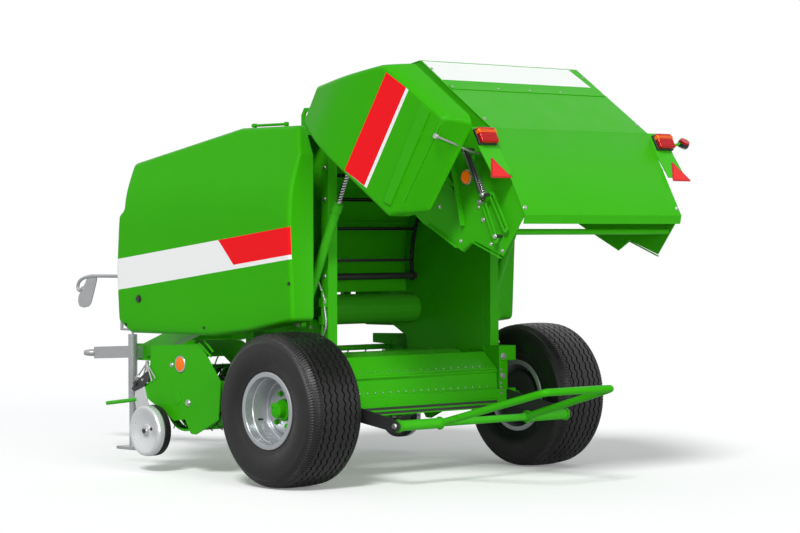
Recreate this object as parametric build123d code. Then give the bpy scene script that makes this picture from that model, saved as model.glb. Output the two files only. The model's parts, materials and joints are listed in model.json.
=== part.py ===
from build123d import *
import math
import os

os.makedirs("parts", exist_ok=True)

# Round baler with a fixed chamber, tailgate raised, millimetres.
# X points forward to the tractor, Y to the left, Z up. The sizes below are laid out
# from the axle (x = 0) and the ground (z = 0); every piece is shifted at the end so
# that the origin lies on the ground under the middle of the whole machine.

# Fits and sheets
running_fit = 0.1
seat_gap = 0.3
sheet = 6.0
cover_wall = 5.0
hood_t = 4.0
clear = 5.0

# Bale chamber
chamber_half = 613.0
slat_r = 640.0
chamber_floor = 610.0
chamber_x = 50.0
chamber_z = chamber_floor + slat_r
wall_out = chamber_half + sheet
wall_top = chamber_z + slat_r + 95
wall_front = chamber_x + slat_r + 210
wall_bottom = 715.0
front_wall_r = slat_r + 100
chain_h = 34.0
chain_w = 14.0
chain_y = chamber_half - 27
slat_h = 24.0
slat_w = 18.0
end_bar_r = 20.0
shaft_r = 25.0
shaft_end = wall_out + 20
roller_half = chamber_half - 8

# Rear posts and side rails
post_x0 = 20.0
post_x1 = 80.0
post_out = wall_out + 62
post_bottom = 745.0
post_top = wall_top - 10
rail_z0 = 850.0
rail_z1 = 930.0
rail_y0 = chamber_half + 27
rail_y1 = rail_y0 + 60
rail_front = wall_front + 540

# Wheels and axle
half_track = chamber_half + 369
tyre_r = 437.0
tyre_half = 197.0
tread_half = 118.0
bead_half = 165.5
rim_r = 197.0
rim_flange_r = 218.0
rim_half = 172.0
rim_wall = 7.0
dish_at = 30.0
hub_r = 62.0
hub_plate_r = 112.0
hub_nose_r = 44.0
spindle_r = 30.0
axle_tube = 100.0
axle_half = half_track - 222

# Side covers, shared by the front covers and the tailgate covers
cover_y = half_track + 80
cover_inner_y = post_out + 204
cover_top_z = wall_top + 47
cover_rear_x = -88.0
right_cover_rear_x = 240.0
cover_front_x = rail_front + 117

# Hood
hood_half = cover_inner_y - 13
hinge_y = hood_half + 4
hinge_z = wall_top + 61
hinge_r = 8.0
hinge_ends = (140.0, 460.0)

# Tailgate, drawn closed and then turned open about its pivot
pivot_x = 50.0
pivot_z = chamber_z + slat_r + 60
open_deg = 55.0
gate_front_x = 8.0
gate_skin = 5.0
gate_out = wall_out + 4
gate_cover_front_x = -122.0
pivot_pin_r = 20.0

# Lift cylinders
cyl_y = post_out + 54
cyl_base = (199.0, 908.0)
cyl_eye_open = (-268.0, pivot_z - 68)
cyl_stroke = 288.0
barrel_r = 27.0
barrel_len = 750.0
rod_r = 14.0
eye_r = 28.0
eye_half_w = 18.0
pin_r = 12.0

# Pickup, drawn raised as parked
rotor_at = (640.0, 600.0)
rotor_r = 110.0
pick_pivot = (rotor_at[0] + 60, rotor_at[1] + 90)
pick_half = 945.0
pick_plate = 8.0
reel_at = (rotor_at[0] + 435, rotor_at[1] - 155)
reel_tube_r = 55.0
reel_bar_r = 150.0
reel_bar = 26.0
reel_tip_r = 268.0
band_in_r = 178.0
band_out_r = 196.0
band_pitch = 76.0
band_count = 2 * int(pick_half / band_pitch)
band_w = 50.0
tine_w = 9.0
beam_x = rotor_at[0] + 146
gauge_y = pick_half + 74
gauge_at = (reel_at[0] + 187, 250.0)
gauge_r = 153.0
gauge_half = 50.0
guard_at = (reel_at[0] + 225, reel_at[1] + 245)

# Drawbar, hitch and jack
beam_h = 100.0
beam_w = 70.0
beam_y = 420.0
apex_x = rail_front + 1210
apex_z = 640.0
eye_x = apex_x + 618
eye_z = 612.0
eye_out_r = 62.0
eye_bore_r = 25.0
eye_half = 22.0
jack_x = apex_x - 10
jack_y = 125.0
jack_tube = 60.0
jack_leg = 48.0

# Power take-off
gearbox_x0 = wall_front + 430
gearbox_x1 = wall_front + 660
gearbox_half = 120.0
gearbox_z = 985.0
stub_r = 17.45
stub_len = 85.0

# Bale kicker: frame hinged on two thick sleeves behind the axle
kick_at = (-550.0, 358.0)
kick_out = chamber_half + 61
kick_in = 344.0
kick_tip = (-1293.0, 559.0)
kick_tip_half = 267.0
kick_sleeve_r = 30.0
kick_tube_r = 21.0

pieces = {}


def add(name, shape):
    pieces[name] = shape


def block(x0, x1, y0, y1, z0, z1):
    size = Box(x1 - x0, y1 - y0, z1 - z0)
    return Pos((x0 + x1) / 2, (y0 + y1) / 2, (z0 + z1) / 2) * size


def sketch_of(points, radius=0.0):
    flat = Polygon(*points, align=None)
    if radius:
        flat = fillet(flat.vertices(), radius)
    return flat


def plate_xz(points, y0, y1, radius=0.0):
    face = Plane((0, y1, 0), x_dir=(1, 0, 0), z_dir=(0, -1, 0)) * sketch_of(points, radius)
    return extrude(face, amount=y1 - y0, dir=(0, -1, 0))


def rod_y(x, z, r, y0, y1):
    return Pos(x, (y0 + y1) / 2, z) * Rot(90, 0, 0) * Cylinder(r, y1 - y0)


def rod_x(y, z, r, x0, x1):
    return Pos((x0 + x1) / 2, y, z) * Rot(0, 90, 0) * Cylinder(r, x1 - x0)


def rod_z(x, y, r, z0, z1):
    return Pos(x, y, (z0 + z1) / 2) * Cylinder(r, z1 - z0)


def bar(start, end, r):
    a = Vector(*start)
    along = Vector(*end) - a
    return extrude(Plane(a, z_dir=along) * Circle(r), amount=along.length)


def flat_bar(start, end, y0, y1, width):
    # Flat bar in the side view between two (x, z) points.
    a = Vector(*start)
    run = Vector(*end) - a
    side = Vector(-run.Y, run.X).normalized() * (width / 2)
    loop = [a + side, a - side, a + run - side, a + run + side]
    return plate_xz([(p.X, p.Y) for p in loop], y0, y1)


def tube_path(points, radii, r):
    path = FilletPolyline(*points, radius=radii)
    start = Plane(path @ 0, z_dir=path % 0)
    return sweep(start * Circle(r), path=path)


def mirrored(shape):
    return mirror(shape, about=Plane.XZ)


def both(name, shape):
    add(name + "_left", shape)
    add(name + "_right", mirrored(shape))


def opened(shape):
    to_pivot = Pos(pivot_x, 0, pivot_z)
    return to_pivot * Rot(0, open_deg, 0) * Pos(-pivot_x, 0, -pivot_z) * shape


def on_circle(r, degrees):
    t = math.radians(degrees)
    return chamber_x + r * math.cos(t), chamber_z + r * math.sin(t)


def folded(points, thick, y0, y1):
    # The sheet lies inside the line when the points run anticlockwise seen from the right.
    outer = [Vector(x, z) for x, z in points]
    inner = []
    for i, p in enumerate(outer):
        before = (p - outer[i - 1]).normalized() if i else None
        after = (outer[i + 1] - p).normalized() if i + 1 < len(outer) else None
        before = before or after
        after = after or before
        n1 = Vector(-before.Y, before.X)
        n2 = Vector(-after.Y, after.X)
        mid = (n1 + n2).normalized()
        inner.append(p + mid * (thick / mid.dot(n1)))
    loop = [(p.X, p.Y) for p in outer] + [(p.X, p.Y) for p in reversed(inner)]
    return plate_xz(loop, y0, y1)


# Wheels: tyre, dished rim and hub turn together on the spindle
def turned(loop):
    return revolve(make_face(Polyline(*loop, close=True)), axis=Axis.Y)


def tyre():
    half = [
        (rim_r + seat_gap, bead_half),
        (rim_flange_r + 2, bead_half),
        (286, tyre_half),
        (372, tyre_half),
        (tyre_r, tread_half),
    ]
    return turned(half + [(r, -a) for r, a in reversed(half)])


def rim():
    inner = rim_r - rim_wall
    seat = bead_half + seat_gap
    half = [(inner, rim_half), (rim_flange_r, rim_half), (rim_flange_r, seat), (rim_r, seat)]
    loop = half + [(r, -a) for r, a in reversed(half)]
    loop += [
        (inner, dish_at - 16), (140, dish_at - 16), (120, dish_at + 4), (hub_r + seat_gap, dish_at + 4),
        (hub_r + seat_gap, dish_at + 14), (124, dish_at + 14), (144, dish_at - 6), (inner, dish_at - 6),
    ]
    return turned(loop)


def hub():
    bore = spindle_r + running_fit
    seat = dish_at + 4 - seat_gap
    loop = [
        (bore, -150), (hub_r, -150), (hub_r, seat - 16), (hub_plate_r, seat - 16), (hub_plate_r, seat),
        (hub_r, seat), (hub_r, dish_at + 34), (hub_nose_r, dish_at + 34), (hub_nose_r, dish_at + 82),
        (0, dish_at + 82), (0, dish_at + 20), (bore, dish_at + 20),
    ]
    return turned(loop)


at_wheel = Pos(0, half_track, tyre_r)
both("tyre", at_wheel * tyre())
both("rim", at_wheel * rim())
both("hub", at_wheel * hub())

# Axle: square tube with a round spindle at each end
spindle_end = half_track + dish_at + 15
axle_z0 = tyre_r - axle_tube / 2
axle_top = axle_z0 + axle_tube
axle = block(-axle_tube / 2, axle_tube / 2, -axle_half, axle_half, axle_z0, axle_top)
axle += rod_y(0, tyre_r, spindle_r, -spindle_end, spindle_end)
add("axle_beam", axle)

# Chassis: side rails above the pickup, front cross tube, side brackets down to the axle
chassis = block(post_x1, rail_front, rail_y0, rail_y1, rail_z0, rail_z1)
bracket = [(-50, axle_top), (60, axle_top), (420, rail_z0), (420, rail_z1), (post_x1, rail_z1),
           (post_x1, post_bottom), (-50, post_bottom)]
chassis += plate_xz(bracket, wall_out, rail_y0)
chassis += block(-50, post_x1, wall_out, axle_half, post_bottom - 90, post_bottom)
chassis += block(-40, 40, rail_y0, rail_y1, axle_top, post_bottom - 90)
chassis += block(rail_front - 50, rail_front - 12, rail_y0, rail_y1, rail_z1, wall_top - 345)
chassis += mirrored(chassis)
chassis += block(rail_front - 80, rail_front, -rail_y1, rail_y1, rail_z0, rail_z1)
add("chassis_frame", chassis)

# Folded rear cross plate under the chamber mouth, the bale rolls over it
plate_line = [(75, 708), (-32, 612), (-38, axle_top + seat_gap), (20, axle_top + seat_gap)]
add("rear_cross_plate", folded(plate_line, sheet, -chamber_half, chamber_half))

# Rollers between the walls: name, angle about the chamber, distance past the slats, radius
rollers = [
    ("front_roller", -23.416, 84.7, 92.0),
    ("floor_roller", -65.344, 31.2, 84.0),
]
shafts = [rotor_at]
for name, angle, past, r in rollers:
    x, z = on_circle(slat_r + past, angle)
    drum = rod_y(x, z, r, -roller_half, roller_half)
    add(name, drum + rod_y(x, z, shaft_r, -shaft_end, shaft_end))
    shafts.append((x, z))

# Feed rotor with offset stars of three teeth
rotor = rod_y(*rotor_at, 60, -roller_half, roller_half)
rotor += rod_y(*rotor_at, shaft_r, -shaft_end, shaft_end)
star = [(rotor_r, 0), (40, 34), (-rotor_r * 0.5, rotor_r * 0.866), (-49, 17), (-rotor_r * 0.5, -rotor_r * 0.866),
        (10, -52)]
star_pitch = 110.0
star_count = 2 * int((roller_half - 20) / star_pitch) + 1
for i in range(star_count):
    y = (i - star_count // 2) * star_pitch
    tooth = plate_xz(star, y - 5, y + 5)
    rotor += Pos(rotor_at[0], 0, rotor_at[1]) * Rot(0, 25 * i, 0) * tooth
add("feed_rotor", rotor)

# Chamber side walls, a rear post at each
wall_shape = [(post_x1, wall_bottom), (220, wall_bottom), (190, 640), (260, 530), (420, 500), (600, 465), (730, 500),
              (765, 640), (765, 780), (wall_front, rail_z0), (wall_front, wall_top - 95), (480, wall_top),
              (post_x1, wall_top)]
side_wall = plate_xz(wall_shape, chamber_half, wall_out)
for x, z in shafts:
    side_wall -= rod_y(x, z, shaft_r + running_fit, chamber_half - clear, wall_out + clear)
both("chamber_wall", side_wall)
post = block(post_x0, post_x1, chamber_half, post_out, post_bottom, post_top)
post -= rod_y(pivot_x, pivot_z, pivot_pin_r + running_fit, chamber_half - clear, post_out + clear)
add("rear_posts", post + mirrored(post))

# Front wall of the chamber: flat panels round a circle
seams = [80, 58, 38, 19, 1.5, -14.5]
front_line = [on_circle(front_wall_r, a) for a in seams]
add("front_wall", folded(front_line, sheet, -chamber_half + 1, chamber_half - 1))


def conveyor(start, end, count):
    # Two chains round the chamber, straight from link to link, joined by cross slats.
    step = (end - start) / count
    out_line = [on_circle(slat_r + chain_h / 2, start + step * i) for i in range(count + 1)]
    in_line = [on_circle(slat_r - chain_h / 2, start + step * i) for i in range(count + 1)]
    chain = plate_xz(out_line + in_line[::-1], chain_y - chain_w / 2, chain_y + chain_w / 2)
    body = chain + mirrored(chain)
    for i in range(count):
        a = start + step * (i + 0.5)
        x, z = on_circle(slat_r, a)
        body += Pos(x, 0, z) * Rot(0, -a, 0) * Box(slat_h, 2 * chain_y, slat_w)
    for a in (start, end):
        x, z = on_circle(slat_r, a)
        body += rod_y(x, z, end_bar_r, -chamber_half + seat_gap, chamber_half - seat_gap)
    return body


add("front_conveyor", conveyor(80, -8, 5))

# Hood over the front of the machine, with the hinge bars of the side covers
hood_top = wall_top + hood_t + seat_gap
hood_line = [(rail_front + 50, 1160), (rail_front - 15, wall_top - 145), (490, hood_top), (110, hood_top)]
hood = folded(hood_line, hood_t, -hood_half, hood_half)
hinge = rod_x(hinge_y, hinge_z, hinge_r, *hinge_ends)
for x in (hinge_ends[0] + 10, hinge_ends[1] - 25):
    hinge += block(x, x + 15, hinge_y - 14, hinge_y + hinge_r + 0.5, wall_top, hinge_z + hinge_r + 4)
hood += hinge + mirrored(hinge)

# Lifting eyes on the frame top, through slots in the hood
eye_x0 = 215.0
eye_x1 = 315.0
eye_mid = (eye_x0 + eye_x1) / 2
eye_top = wall_top + 165
eye_shape = [(eye_x0, wall_top - 85), (eye_x0, eye_top - 40), (eye_mid - 25, eye_top), (eye_mid + 25, eye_top),
             (eye_x1, eye_top - 40), (eye_x1, wall_top - 85)]
lug = plate_xz(eye_shape, wall_out, wall_out + 12)
lug -= rod_y(eye_mid, eye_top - 40, 18, wall_out - clear, wall_out + 12 + clear)
add("lifting_eyes", lug + mirrored(lug))
slot = block(eye_x0 - clear, eye_x1 + clear, wall_out - 3, wall_out + 15, wall_top - 85, eye_top)
hood -= slot
hood -= mirrored(slot)
add("front_hood", hood)


# Side covers: a bulged pressed tray open towards the machine
def cover_tray(outline, x0, x1, corner, taper=None):
    low = wall_bottom + 65
    profile = [
        (500, low), (cover_y - 59, low), (cover_y - 30, rail_z0 + 35), (cover_y - 10, chamber_z),
        (cover_y, wall_top - 455), (cover_y - 77, wall_top - 115), (cover_y - 140, wall_top + 85),
        (500, wall_top + 85),
    ]
    inner_profile = offset(sketch_of(profile), -cover_wall, kind=Kind.INTERSECTION)
    inner_outline = offset(sketch_of(outline, corner), -cover_wall, kind=Kind.INTERSECTION)
    side = Plane((x0 - 20, 0, 0), x_dir=(0, 1, 0), z_dir=(1, 0, 0))
    front = Plane((0, cover_y + 100, 0), x_dir=(1, 0, 0), z_dir=(0, -1, 0))
    length = x1 - x0 + 40
    outer = extrude(side * sketch_of(profile), amount=length, dir=(1, 0, 0))
    outer &= extrude(front * sketch_of(outline, corner), amount=cover_y, dir=(0, -1, 0))
    inner = extrude(side * inner_profile, amount=length, dir=(1, 0, 0))
    inner &= extrude(front * inner_outline, amount=cover_y, dir=(0, -1, 0))
    if taper:
        plan = Polygon(*taper, align=None)
        plan_inner = offset(plan, -cover_wall, kind=Kind.INTERSECTION)
        outer &= extrude(plan, amount=wall_top + 200, dir=(0, 0, 1))
        inner &= extrude(plan_inner, amount=wall_top + 200, dir=(0, 0, 1))
    tray = outer - inner
    return tray - block(x0 - 50, x1 + 50, 0, cover_inner_y, low - 50, wall_top + 200)


def front_cover(rear_x, rear_z, below, knuckle_x):
    outline = [
        (rail_front + 16, 828), (668, 833), *below, (rear_x, rear_z), (rear_x, wall_top - 117),
        (rear_x + 70, cover_top_z), (497, cover_top_z), (rail_front + 8, wall_top - 138),
        (rail_front + 26, wall_top - 414), (rail_front + 73, wall_top - 451), (cover_front_x, 1200),
        (cover_front_x, 900),
    ]
    tray = cover_tray(outline, rear_x, cover_front_x, 12)
    for x in knuckle_x:
        eye = block(x, x + 40, hinge_y - 11, hinge_y + 30, cover_top_z - 4, hinge_z + 11)
        tray += eye - rod_x(hinge_y, hinge_z, hinge_r + running_fit, x - clear, x + 40 + clear)
    return tray


# The left cover reaches back over the post, the right one ends in front of the wheel
add("front_side_cover_left", front_cover(cover_rear_x, 938, [(316, 870)], (180, 380)))
add("front_side_cover_right", mirrored(front_cover(right_cover_rear_x, 890, [], (300, 380))))

# Tailgate skin, its corners at (angle about the chamber, distance past the slats)
skin_corners = [(94.8, 104.6), (119.4, 134.6), (144.6, 157.5), (156.23, 203.6), (203.52, 201.95), (236.62, 332.4),
                (239.47, 324.7)]
skin_line = [on_circle(slat_r + past, angle) for angle, past in skin_corners]
low_x, low_z = skin_line[-2]
wall_line = skin_line[:-1] + [(-205, low_z + 8), (-145, 670), (-48, 705), (gate_front_x, 1060), (gate_front_x, wall_top + 7)]
gate_flat = offset(sketch_of(wall_line), -gate_skin - seat_gap, kind=Kind.INTERSECTION)
gate_plane = Plane((0, wall_out, 0), x_dir=(1, 0, 0), z_dir=(0, -1, 0))
both("tailgate_wall", opened(extrude(gate_plane * gate_flat, amount=sheet, dir=(0, -1, 0))))
add("tailgate_skin", opened(folded(skin_line, gate_skin, -gate_out, gate_out)))
tube_low = rod_y(low_x + 129, low_z + 28, 16, -chamber_half, chamber_half)
add("tailgate_cross_tube", opened(tube_low))
add("tailgate_conveyor", opened(conveyor(100, 225, 7)))

# Pivot arms on the tailgate, with the pivot pins and the pins of the lift cylinders
t_open = math.radians(open_deg)
eye_dx = cyl_eye_open[0] - pivot_x
eye_dz = cyl_eye_open[1] - pivot_z
pin_x = pivot_x + eye_dx * math.cos(t_open) - eye_dz * math.sin(t_open)
pin_z = pivot_z + eye_dx * math.sin(t_open) + eye_dz * math.cos(t_open)
arm_in = post_out + clear
arm_out = arm_in + 12
arm = [(pivot_x + 40, pivot_z), (pivot_x, pivot_z + 40), (-60, pivot_z + 25), (pin_x - 50, pivot_z - 15),
       (pin_x - 38, pin_z - 30), (pin_x + 30, pin_z - 30), (-30, pivot_z - 110), (pivot_x, pivot_z - 40)]
arm_plate = plate_xz(arm, arm_in, arm_out)
arm_plate += rod_y(pin_x, pin_z, 16, arm_in, cyl_y - eye_half_w - 0.5)
arm_plate += rod_y(pivot_x, pivot_z, pivot_pin_r, chamber_half, arm_in)
arm_plate += block(-130, -40, wall_out, arm_in, pivot_z - 90, pivot_z - 30)
add("tailgate_arms", opened(arm_plate + mirrored(arm_plate)))

# Tailgate side covers, their rear ends drawn in towards the skin
gate_outline = [(gate_cover_front_x, 945), (gate_cover_front_x, wall_top - 117), (-345, wall_top - 93), (-853, 1341),
                (-875, 853), (-825, 808), (-252, 822)]
gate_taper = [(0, 400), (0, cover_y + 138), (-754, cover_y + 138), (-778, cover_y), (-829, cover_inner_y),
              (-850, cover_inner_y - 70), (-850, 400)]
right_outline = [(gate_cover_front_x, 985), (gate_cover_front_x, wall_top - 117), (-345, wall_top - 93),
                 (-430, wall_top - 185), (-430, 985)]


def gate_cover(outline, rear_x, taper, pin_x):
    tray = cover_tray(outline[::-1], rear_x, gate_cover_front_x, 10, taper)
    for z, y1 in ((wall_top - 485, cover_y - 4), (wall_top - 915, cover_y - 20)):
        tray += rod_y(pin_x, z, 12, wall_out + seat_gap, y1)
    return opened(tray)


# The right cover is the short one, it ends beside the springs
add("tailgate_side_cover_left", gate_cover(gate_outline, -880, gate_taper, -400))
add("tailgate_side_cover_right", mirrored(gate_cover(right_outline, -430, None, -330)))

# Lamps beside the skin: bent strip, lamp box, marker on an arm, triangle
crease = Vector(*skin_line[4])
skin_run = (Vector(*skin_line[5]) - crease).normalized()
skin_out = Vector(skin_run.Y, -skin_run.X)
strip_corners = [crease, crease + skin_run * 138, crease + skin_run * 297 + skin_out * 19]
strip_line = [(p.X, p.Y) for p in strip_corners]
strip_y = gate_out + 145
strip = folded(strip_line, 5, gate_out, strip_y)
marker_y = cover_y - 79
marker_r = 34.0
foot_x = crease.X + 177
foot_z = crease.Y - 3
marker_arm = bar((foot_x, wall_out + 6, foot_z), (foot_x - 110, marker_y - marker_r - 2, foot_z + 11), 8)
marker_arm += rod_y(foot_x, foot_z, 16, wall_out, wall_out + 12)
strip_both = strip + mirrored(strip)
marker_both = marker_arm + mirrored(marker_arm)
add("lamp_brackets", opened(strip_both + marker_both))


def on_strip(first, second, along, out):
    # Point beside a run of the strip, pushed outwards, and the run's angle.
    a = Vector(*strip_line[first])
    run = (Vector(*strip_line[second]) - a).normalized()
    p = a + run * along + Vector(run.Y, -run.X) * out
    return Pos(p.X, strip_y - 62, p.Y) * Rot(0, 90 - math.degrees(math.atan2(run.Y, run.X)) - 180, 0)


lamp = on_strip(0, 1, 66, 22 + seat_gap) * Box(44, 132, 96)
marker = rod_x(marker_y, foot_z + 11, marker_r, foot_x - 133, foot_x - 87)
lamps = lamp + mirrored(lamp)
markers = marker + mirrored(marker)
add("tail_lamps", opened(lamps + markers))
tri_side = 160.0
tri_h = tri_side * 0.866
tri_sketch = Polygon((0, -tri_h / 2), (tri_side / 2, tri_h / 2), (-tri_side / 2, tri_h / 2), align=None)
tri_run = Vector(strip_line[2][0] - strip_line[1][0], 0, strip_line[2][1] - strip_line[1][1]).normalized()
tri_out = Vector(tri_run.Z, 0, -tri_run.X)
tri_at = Vector(strip_line[1][0], strip_y - 50, strip_line[1][1]) + tri_run * 118
tri_face = Plane(tri_at, x_dir=(0, 1, 0), z_dir=tri_out) * tri_sketch
triangle = extrude(tri_face, amount=4, dir=tri_out)
add("warning_triangles", opened(triangle + mirrored(triangle)))

# Bale pressure springs on the tailgate walls with their slotted guides
spring_y = wall_out + 61
top_x = crease.X + 178
top_z = crease.Y + 49
mid_x = crease.X + 290
mid_z = crease.Y - 214
end_x = crease.X + 447
end_z = crease.Y - 416
spring = bar((top_x, spring_y, top_z), (mid_x, spring_y, mid_z), 22)
spring += rod_y(top_x, top_z, 10, wall_out, spring_y + 12)
spring += rod_y(mid_x, mid_z, 10, wall_out, spring_y + 12)
spring += flat_bar((mid_x, mid_z), (end_x, end_z), wall_out + 18, wall_out + 32, 44)
spring += rod_y(end_x - 15, end_z + 19, 10, wall_out, wall_out + 40)
add("bale_springs", opened(spring + mirrored(spring)))

# Lift cylinders: barrel pinned on the side rail, rod towards the tailgate
base = Vector(cyl_base[0], cyl_y, cyl_base[1])
tip = Vector(cyl_eye_open[0], cyl_y, cyl_eye_open[1])
along = (tip - base).normalized()
barrel = bar(base + along * 15, base + along * barrel_len, barrel_r)
barrel += rod_y(*cyl_base, eye_r, cyl_y - eye_half_w, cyl_y + eye_half_w)
barrel -= rod_y(*cyl_base, pin_r + running_fit, cyl_y - 30, cyl_y + 30)
barrel -= bar(base + along * 50, base + along * (barrel_len + clear), rod_r + seat_gap)
both("cylinder_barrel", barrel)
rod = bar(base + along * (cyl_stroke + 60), tip, rod_r)
rod += rod_y(tip.X, tip.Z, eye_r, cyl_y - eye_half_w, cyl_y + eye_half_w)
both("cylinder_rod", rod)
lug_line = [(150, rail_z0 + 20), (150, rail_z1), (176, rail_z1 + 16), (222, rail_z1 + 16), (248, rail_z1),
            (248, rail_z0 + 20)]
lugs = plate_xz(lug_line, rail_y1, rail_y1 + sheet)
lugs += rod_y(*cyl_base, pin_r, rail_y1 + sheet / 2, cyl_y + 24)
add("cylinder_brackets", lugs + mirrored(lugs))

# Catches on the posts that hold the tailgate shut
catch = rod_z(50, post_out + 19, 9, 760, 1100)
for z in (905, 1005):
    catch += block(30, 70, post_out, post_out + 31, z, z + 50)
add("gate_catches", catch + mirrored(catch))

# Pickup: side plates, back beam, reel with tines, stripper bands, gauge wheels
px, pz = pick_pivot
rx, rz = reel_at
side_shape = [(rx + 260, rz + 307), (rx - 217, rz + 335), (px - 35, pz - 128), (px - 12, rz - 107), (rx - 175, rz - 203),
              (rx - 127, rz - 201), (rx - 72, rz - 119), (rx + 37, rz - 133), (rx + 301, rz - 11), (rx + 345, rz + 75),
              (rx + 270, rz + 195)]
side_plate = plate_xz(side_shape, pick_half, pick_half + pick_plate)
side_plate -= rod_y(*reel_at, shaft_r + running_fit, pick_half - clear, pick_half + pick_plate + clear)
both("pickup_side_plate", side_plate)
beam_line = [(beam_x - 8, 560), (beam_x - 8, 412), (beam_x + 12, 385), (beam_x + 16, 391), (beam_x, 416), (beam_x, 560)]
beam = plate_xz(beam_line, -pick_half, pick_half)
arm_y = rail_y1 + 15
arm_shape = [(px - 25, pz - 25), (px - 25, pz + 70), (px + 60, pz + 105), (px + 500, pz + 95), (px + 500, pz + 35),
             (rx - 125, pz + 25), (rx - 215, pz - 30), (rx - 262, pz - 100), (beam_x + 4, pz - 160), (beam_x, 425),
             (beam_x - 20, 425)]
pick_arm = plate_xz(arm_shape, arm_y, arm_y + 12) - rod_y(px, pz, 15 + running_fit, arm_y - clear, arm_y + 20)
beam += pick_arm + mirrored(pick_arm)
bend_step = 30
band_ring = [(band_out_r, -171 + bend_step * i) for i in range(10)]
band_ring += [(band_in_r, a) for _, a in reversed(band_ring)]
band_loop = [(rx + r * math.cos(math.radians(a)), rz + r * math.sin(math.radians(a))) for r, a in band_ring]
for i in range(band_count):
    y = (i - (band_count - 1) / 2) * band_pitch
    beam += plate_xz(band_loop, y - band_w / 2, y + band_w / 2)
    beam += block(beam_x - 4, rx - band_in_r - 3, y - band_w / 2, y + band_w / 2, rz - 65, rz - 31)
add("stripper_bands", beam)

reel = rod_y(rx, rz, reel_tube_r, -pick_half + 8, pick_half - 8)
reel += rod_y(rx, rz, shaft_r, -pick_half - 20, pick_half + 20)
quarter = Box(reel_bar, 2 * pick_half - 24, reel_bar)
for side in (-1, 1):
    quarter += Pos(-reel_bar_r / 2, side * (pick_half - 20), 0) * Box(reel_bar_r, 8, 40)
tine_len = reel_tip_r - reel_bar_r
for i in range(band_count - 1):
    y = (i + 1 - band_count / 2) * band_pitch
    quarter += Pos(tine_len / 2, y, 0) * Box(tine_len, tine_w, tine_w)
for k in range(4):
    reel += Pos(rx, 0, rz) * Rot(0, -45 - 90 * k, 0) * Pos(reel_bar_r, 0, 0) * quarter
add("pickup_reel", reel)

# Crop guard: tube with straight rods over the front of the reel
gxx, gzz = guard_at
guard = rod_y(gxx, gzz, 18, -pick_half, pick_half)
rod_pitch = 2 * band_pitch
for i in range(band_count // 2 + 1):
    y = (i - band_count / 4) * rod_pitch
    guard += flat_bar((gxx, gzz), (gxx + 90, gzz - 190), y - 5, y + 5, 10)
add("crop_guard", guard)

gx, gz = gauge_at
plate_out = pick_half + pick_plate
gauge = rod_y(gx, gz, gauge_r, gauge_y - gauge_half, gauge_y + gauge_half)
gauge -= rod_y(gx, gz, pin_r + running_fit, gauge_y - gauge_half - clear, gauge_y + gauge_half + clear)
both("gauge_wheel", gauge)
arm_line = [(gx - 25, gz - 25), (gx + 25, gz - 25), (gx + 208, gz + 120), (gx + 258, gz + 235), (gx + 198, gz + 290),
            (gx + 100, gz + 350), (gx + 60, gz + 310), (gx + 96, gz + 150)]
gauge_arm = plate_xz(arm_line, plate_out, plate_out + 10)
gauge_arm += rod_y(gx, gz, pin_r, plate_out + 5, gauge_y + gauge_half + 14)
add("gauge_arms", gauge_arm + mirrored(gauge_arm))
hanger = block(px - 30, px + 30, rail_y1, rail_y1 + 12, pz - 35, rail_z1)
hanger += rod_y(px, pz, 15, rail_y1 + 6, arm_y + 17)
add("pickup_hangers", hanger + mirrored(hanger))

# Drawbar: two beams meet at the tongue
beam_start = Vector(rail_front, beam_y, (rail_z0 + rail_z1) / 2)
beam_run = Vector(apex_x, 0, apex_z) - beam_start
beam_plane = Plane(beam_start, x_dir=(0, 0, 1), z_dir=beam_run)
left_beam = extrude(beam_plane * Rectangle(beam_h, beam_w), amount=beam_run.length)
drawbar = left_beam + mirrored(left_beam)
drawbar += block(apex_x - 120, apex_x + 40, -60, 60, apex_z - 55, apex_z + 55)
drawbar -= block(rail_front - 300, rail_front, -800, 800, 700, 1100)
cross_x = rail_front + 575
cross_z = beam_start.Z + beam_run.Z * (cross_x - rail_front) / beam_run.X
cross_half = beam_y * (apex_x - cross_x) / (apex_x - rail_front)
drawbar += block(cross_x - 25, cross_x + 25, -cross_half, cross_half, cross_z - 30, cross_z + 30)
add("drawbar_frame", drawbar)
tongue_start = Vector(apex_x + 40, 0, apex_z)
tongue_run = Vector(eye_x, 0, eye_z) - tongue_start
tongue_plane = Plane(tongue_start, x_dir=(0, 0, 1), z_dir=tongue_run)
tongue = extrude(tongue_plane * Rectangle(80, 60), amount=tongue_run.length - 30)
tongue -= block(apex_x - 100, apex_x + 40, -100, 100, apex_z - 100, apex_z + 100)
tongue -= rod_z(eye_x, 0, eye_out_r + seat_gap, eye_z - 100, eye_z + 100)
add("drawbar_tongue", tongue)
ring = rod_z(eye_x, 0, eye_out_r, eye_z - eye_half, eye_z + eye_half)
ring -= rod_z(eye_x, 0, eye_bore_r, eye_z - 50, eye_z + 50)
add("hitch_eye", ring)

# Parking jack beside the tongue, leg down on the ground
sleeve_top = 760.0
sleeve = rod_z(jack_x, jack_y, jack_tube / 2, 330, sleeve_top)
sleeve += block(jack_x - 20, jack_x + 20, 60, jack_y - 5, apex_z - 40, apex_z + 40)
sleeve -= rod_z(jack_x, jack_y, jack_leg / 2 + seat_gap, 300, sleeve_top - 15)
sleeve += rod_z(jack_x, jack_y, 8, sleeve_top - 5, sleeve_top + 35)
sleeve += rod_x(jack_y, sleeve_top + 30, 8, jack_x - 10, jack_x + 130)
sleeve += rod_z(jack_x + 120, jack_y, 11, sleeve_top + 30, sleeve_top + 110)
add("jack_sleeve", sleeve)
leg = rod_z(jack_x, jack_y, jack_leg / 2, 20, 470)
leg += block(jack_x - 90, jack_x + 90, jack_y - 70, jack_y + 70, 0, 20)
add("jack_leg", leg)

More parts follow.
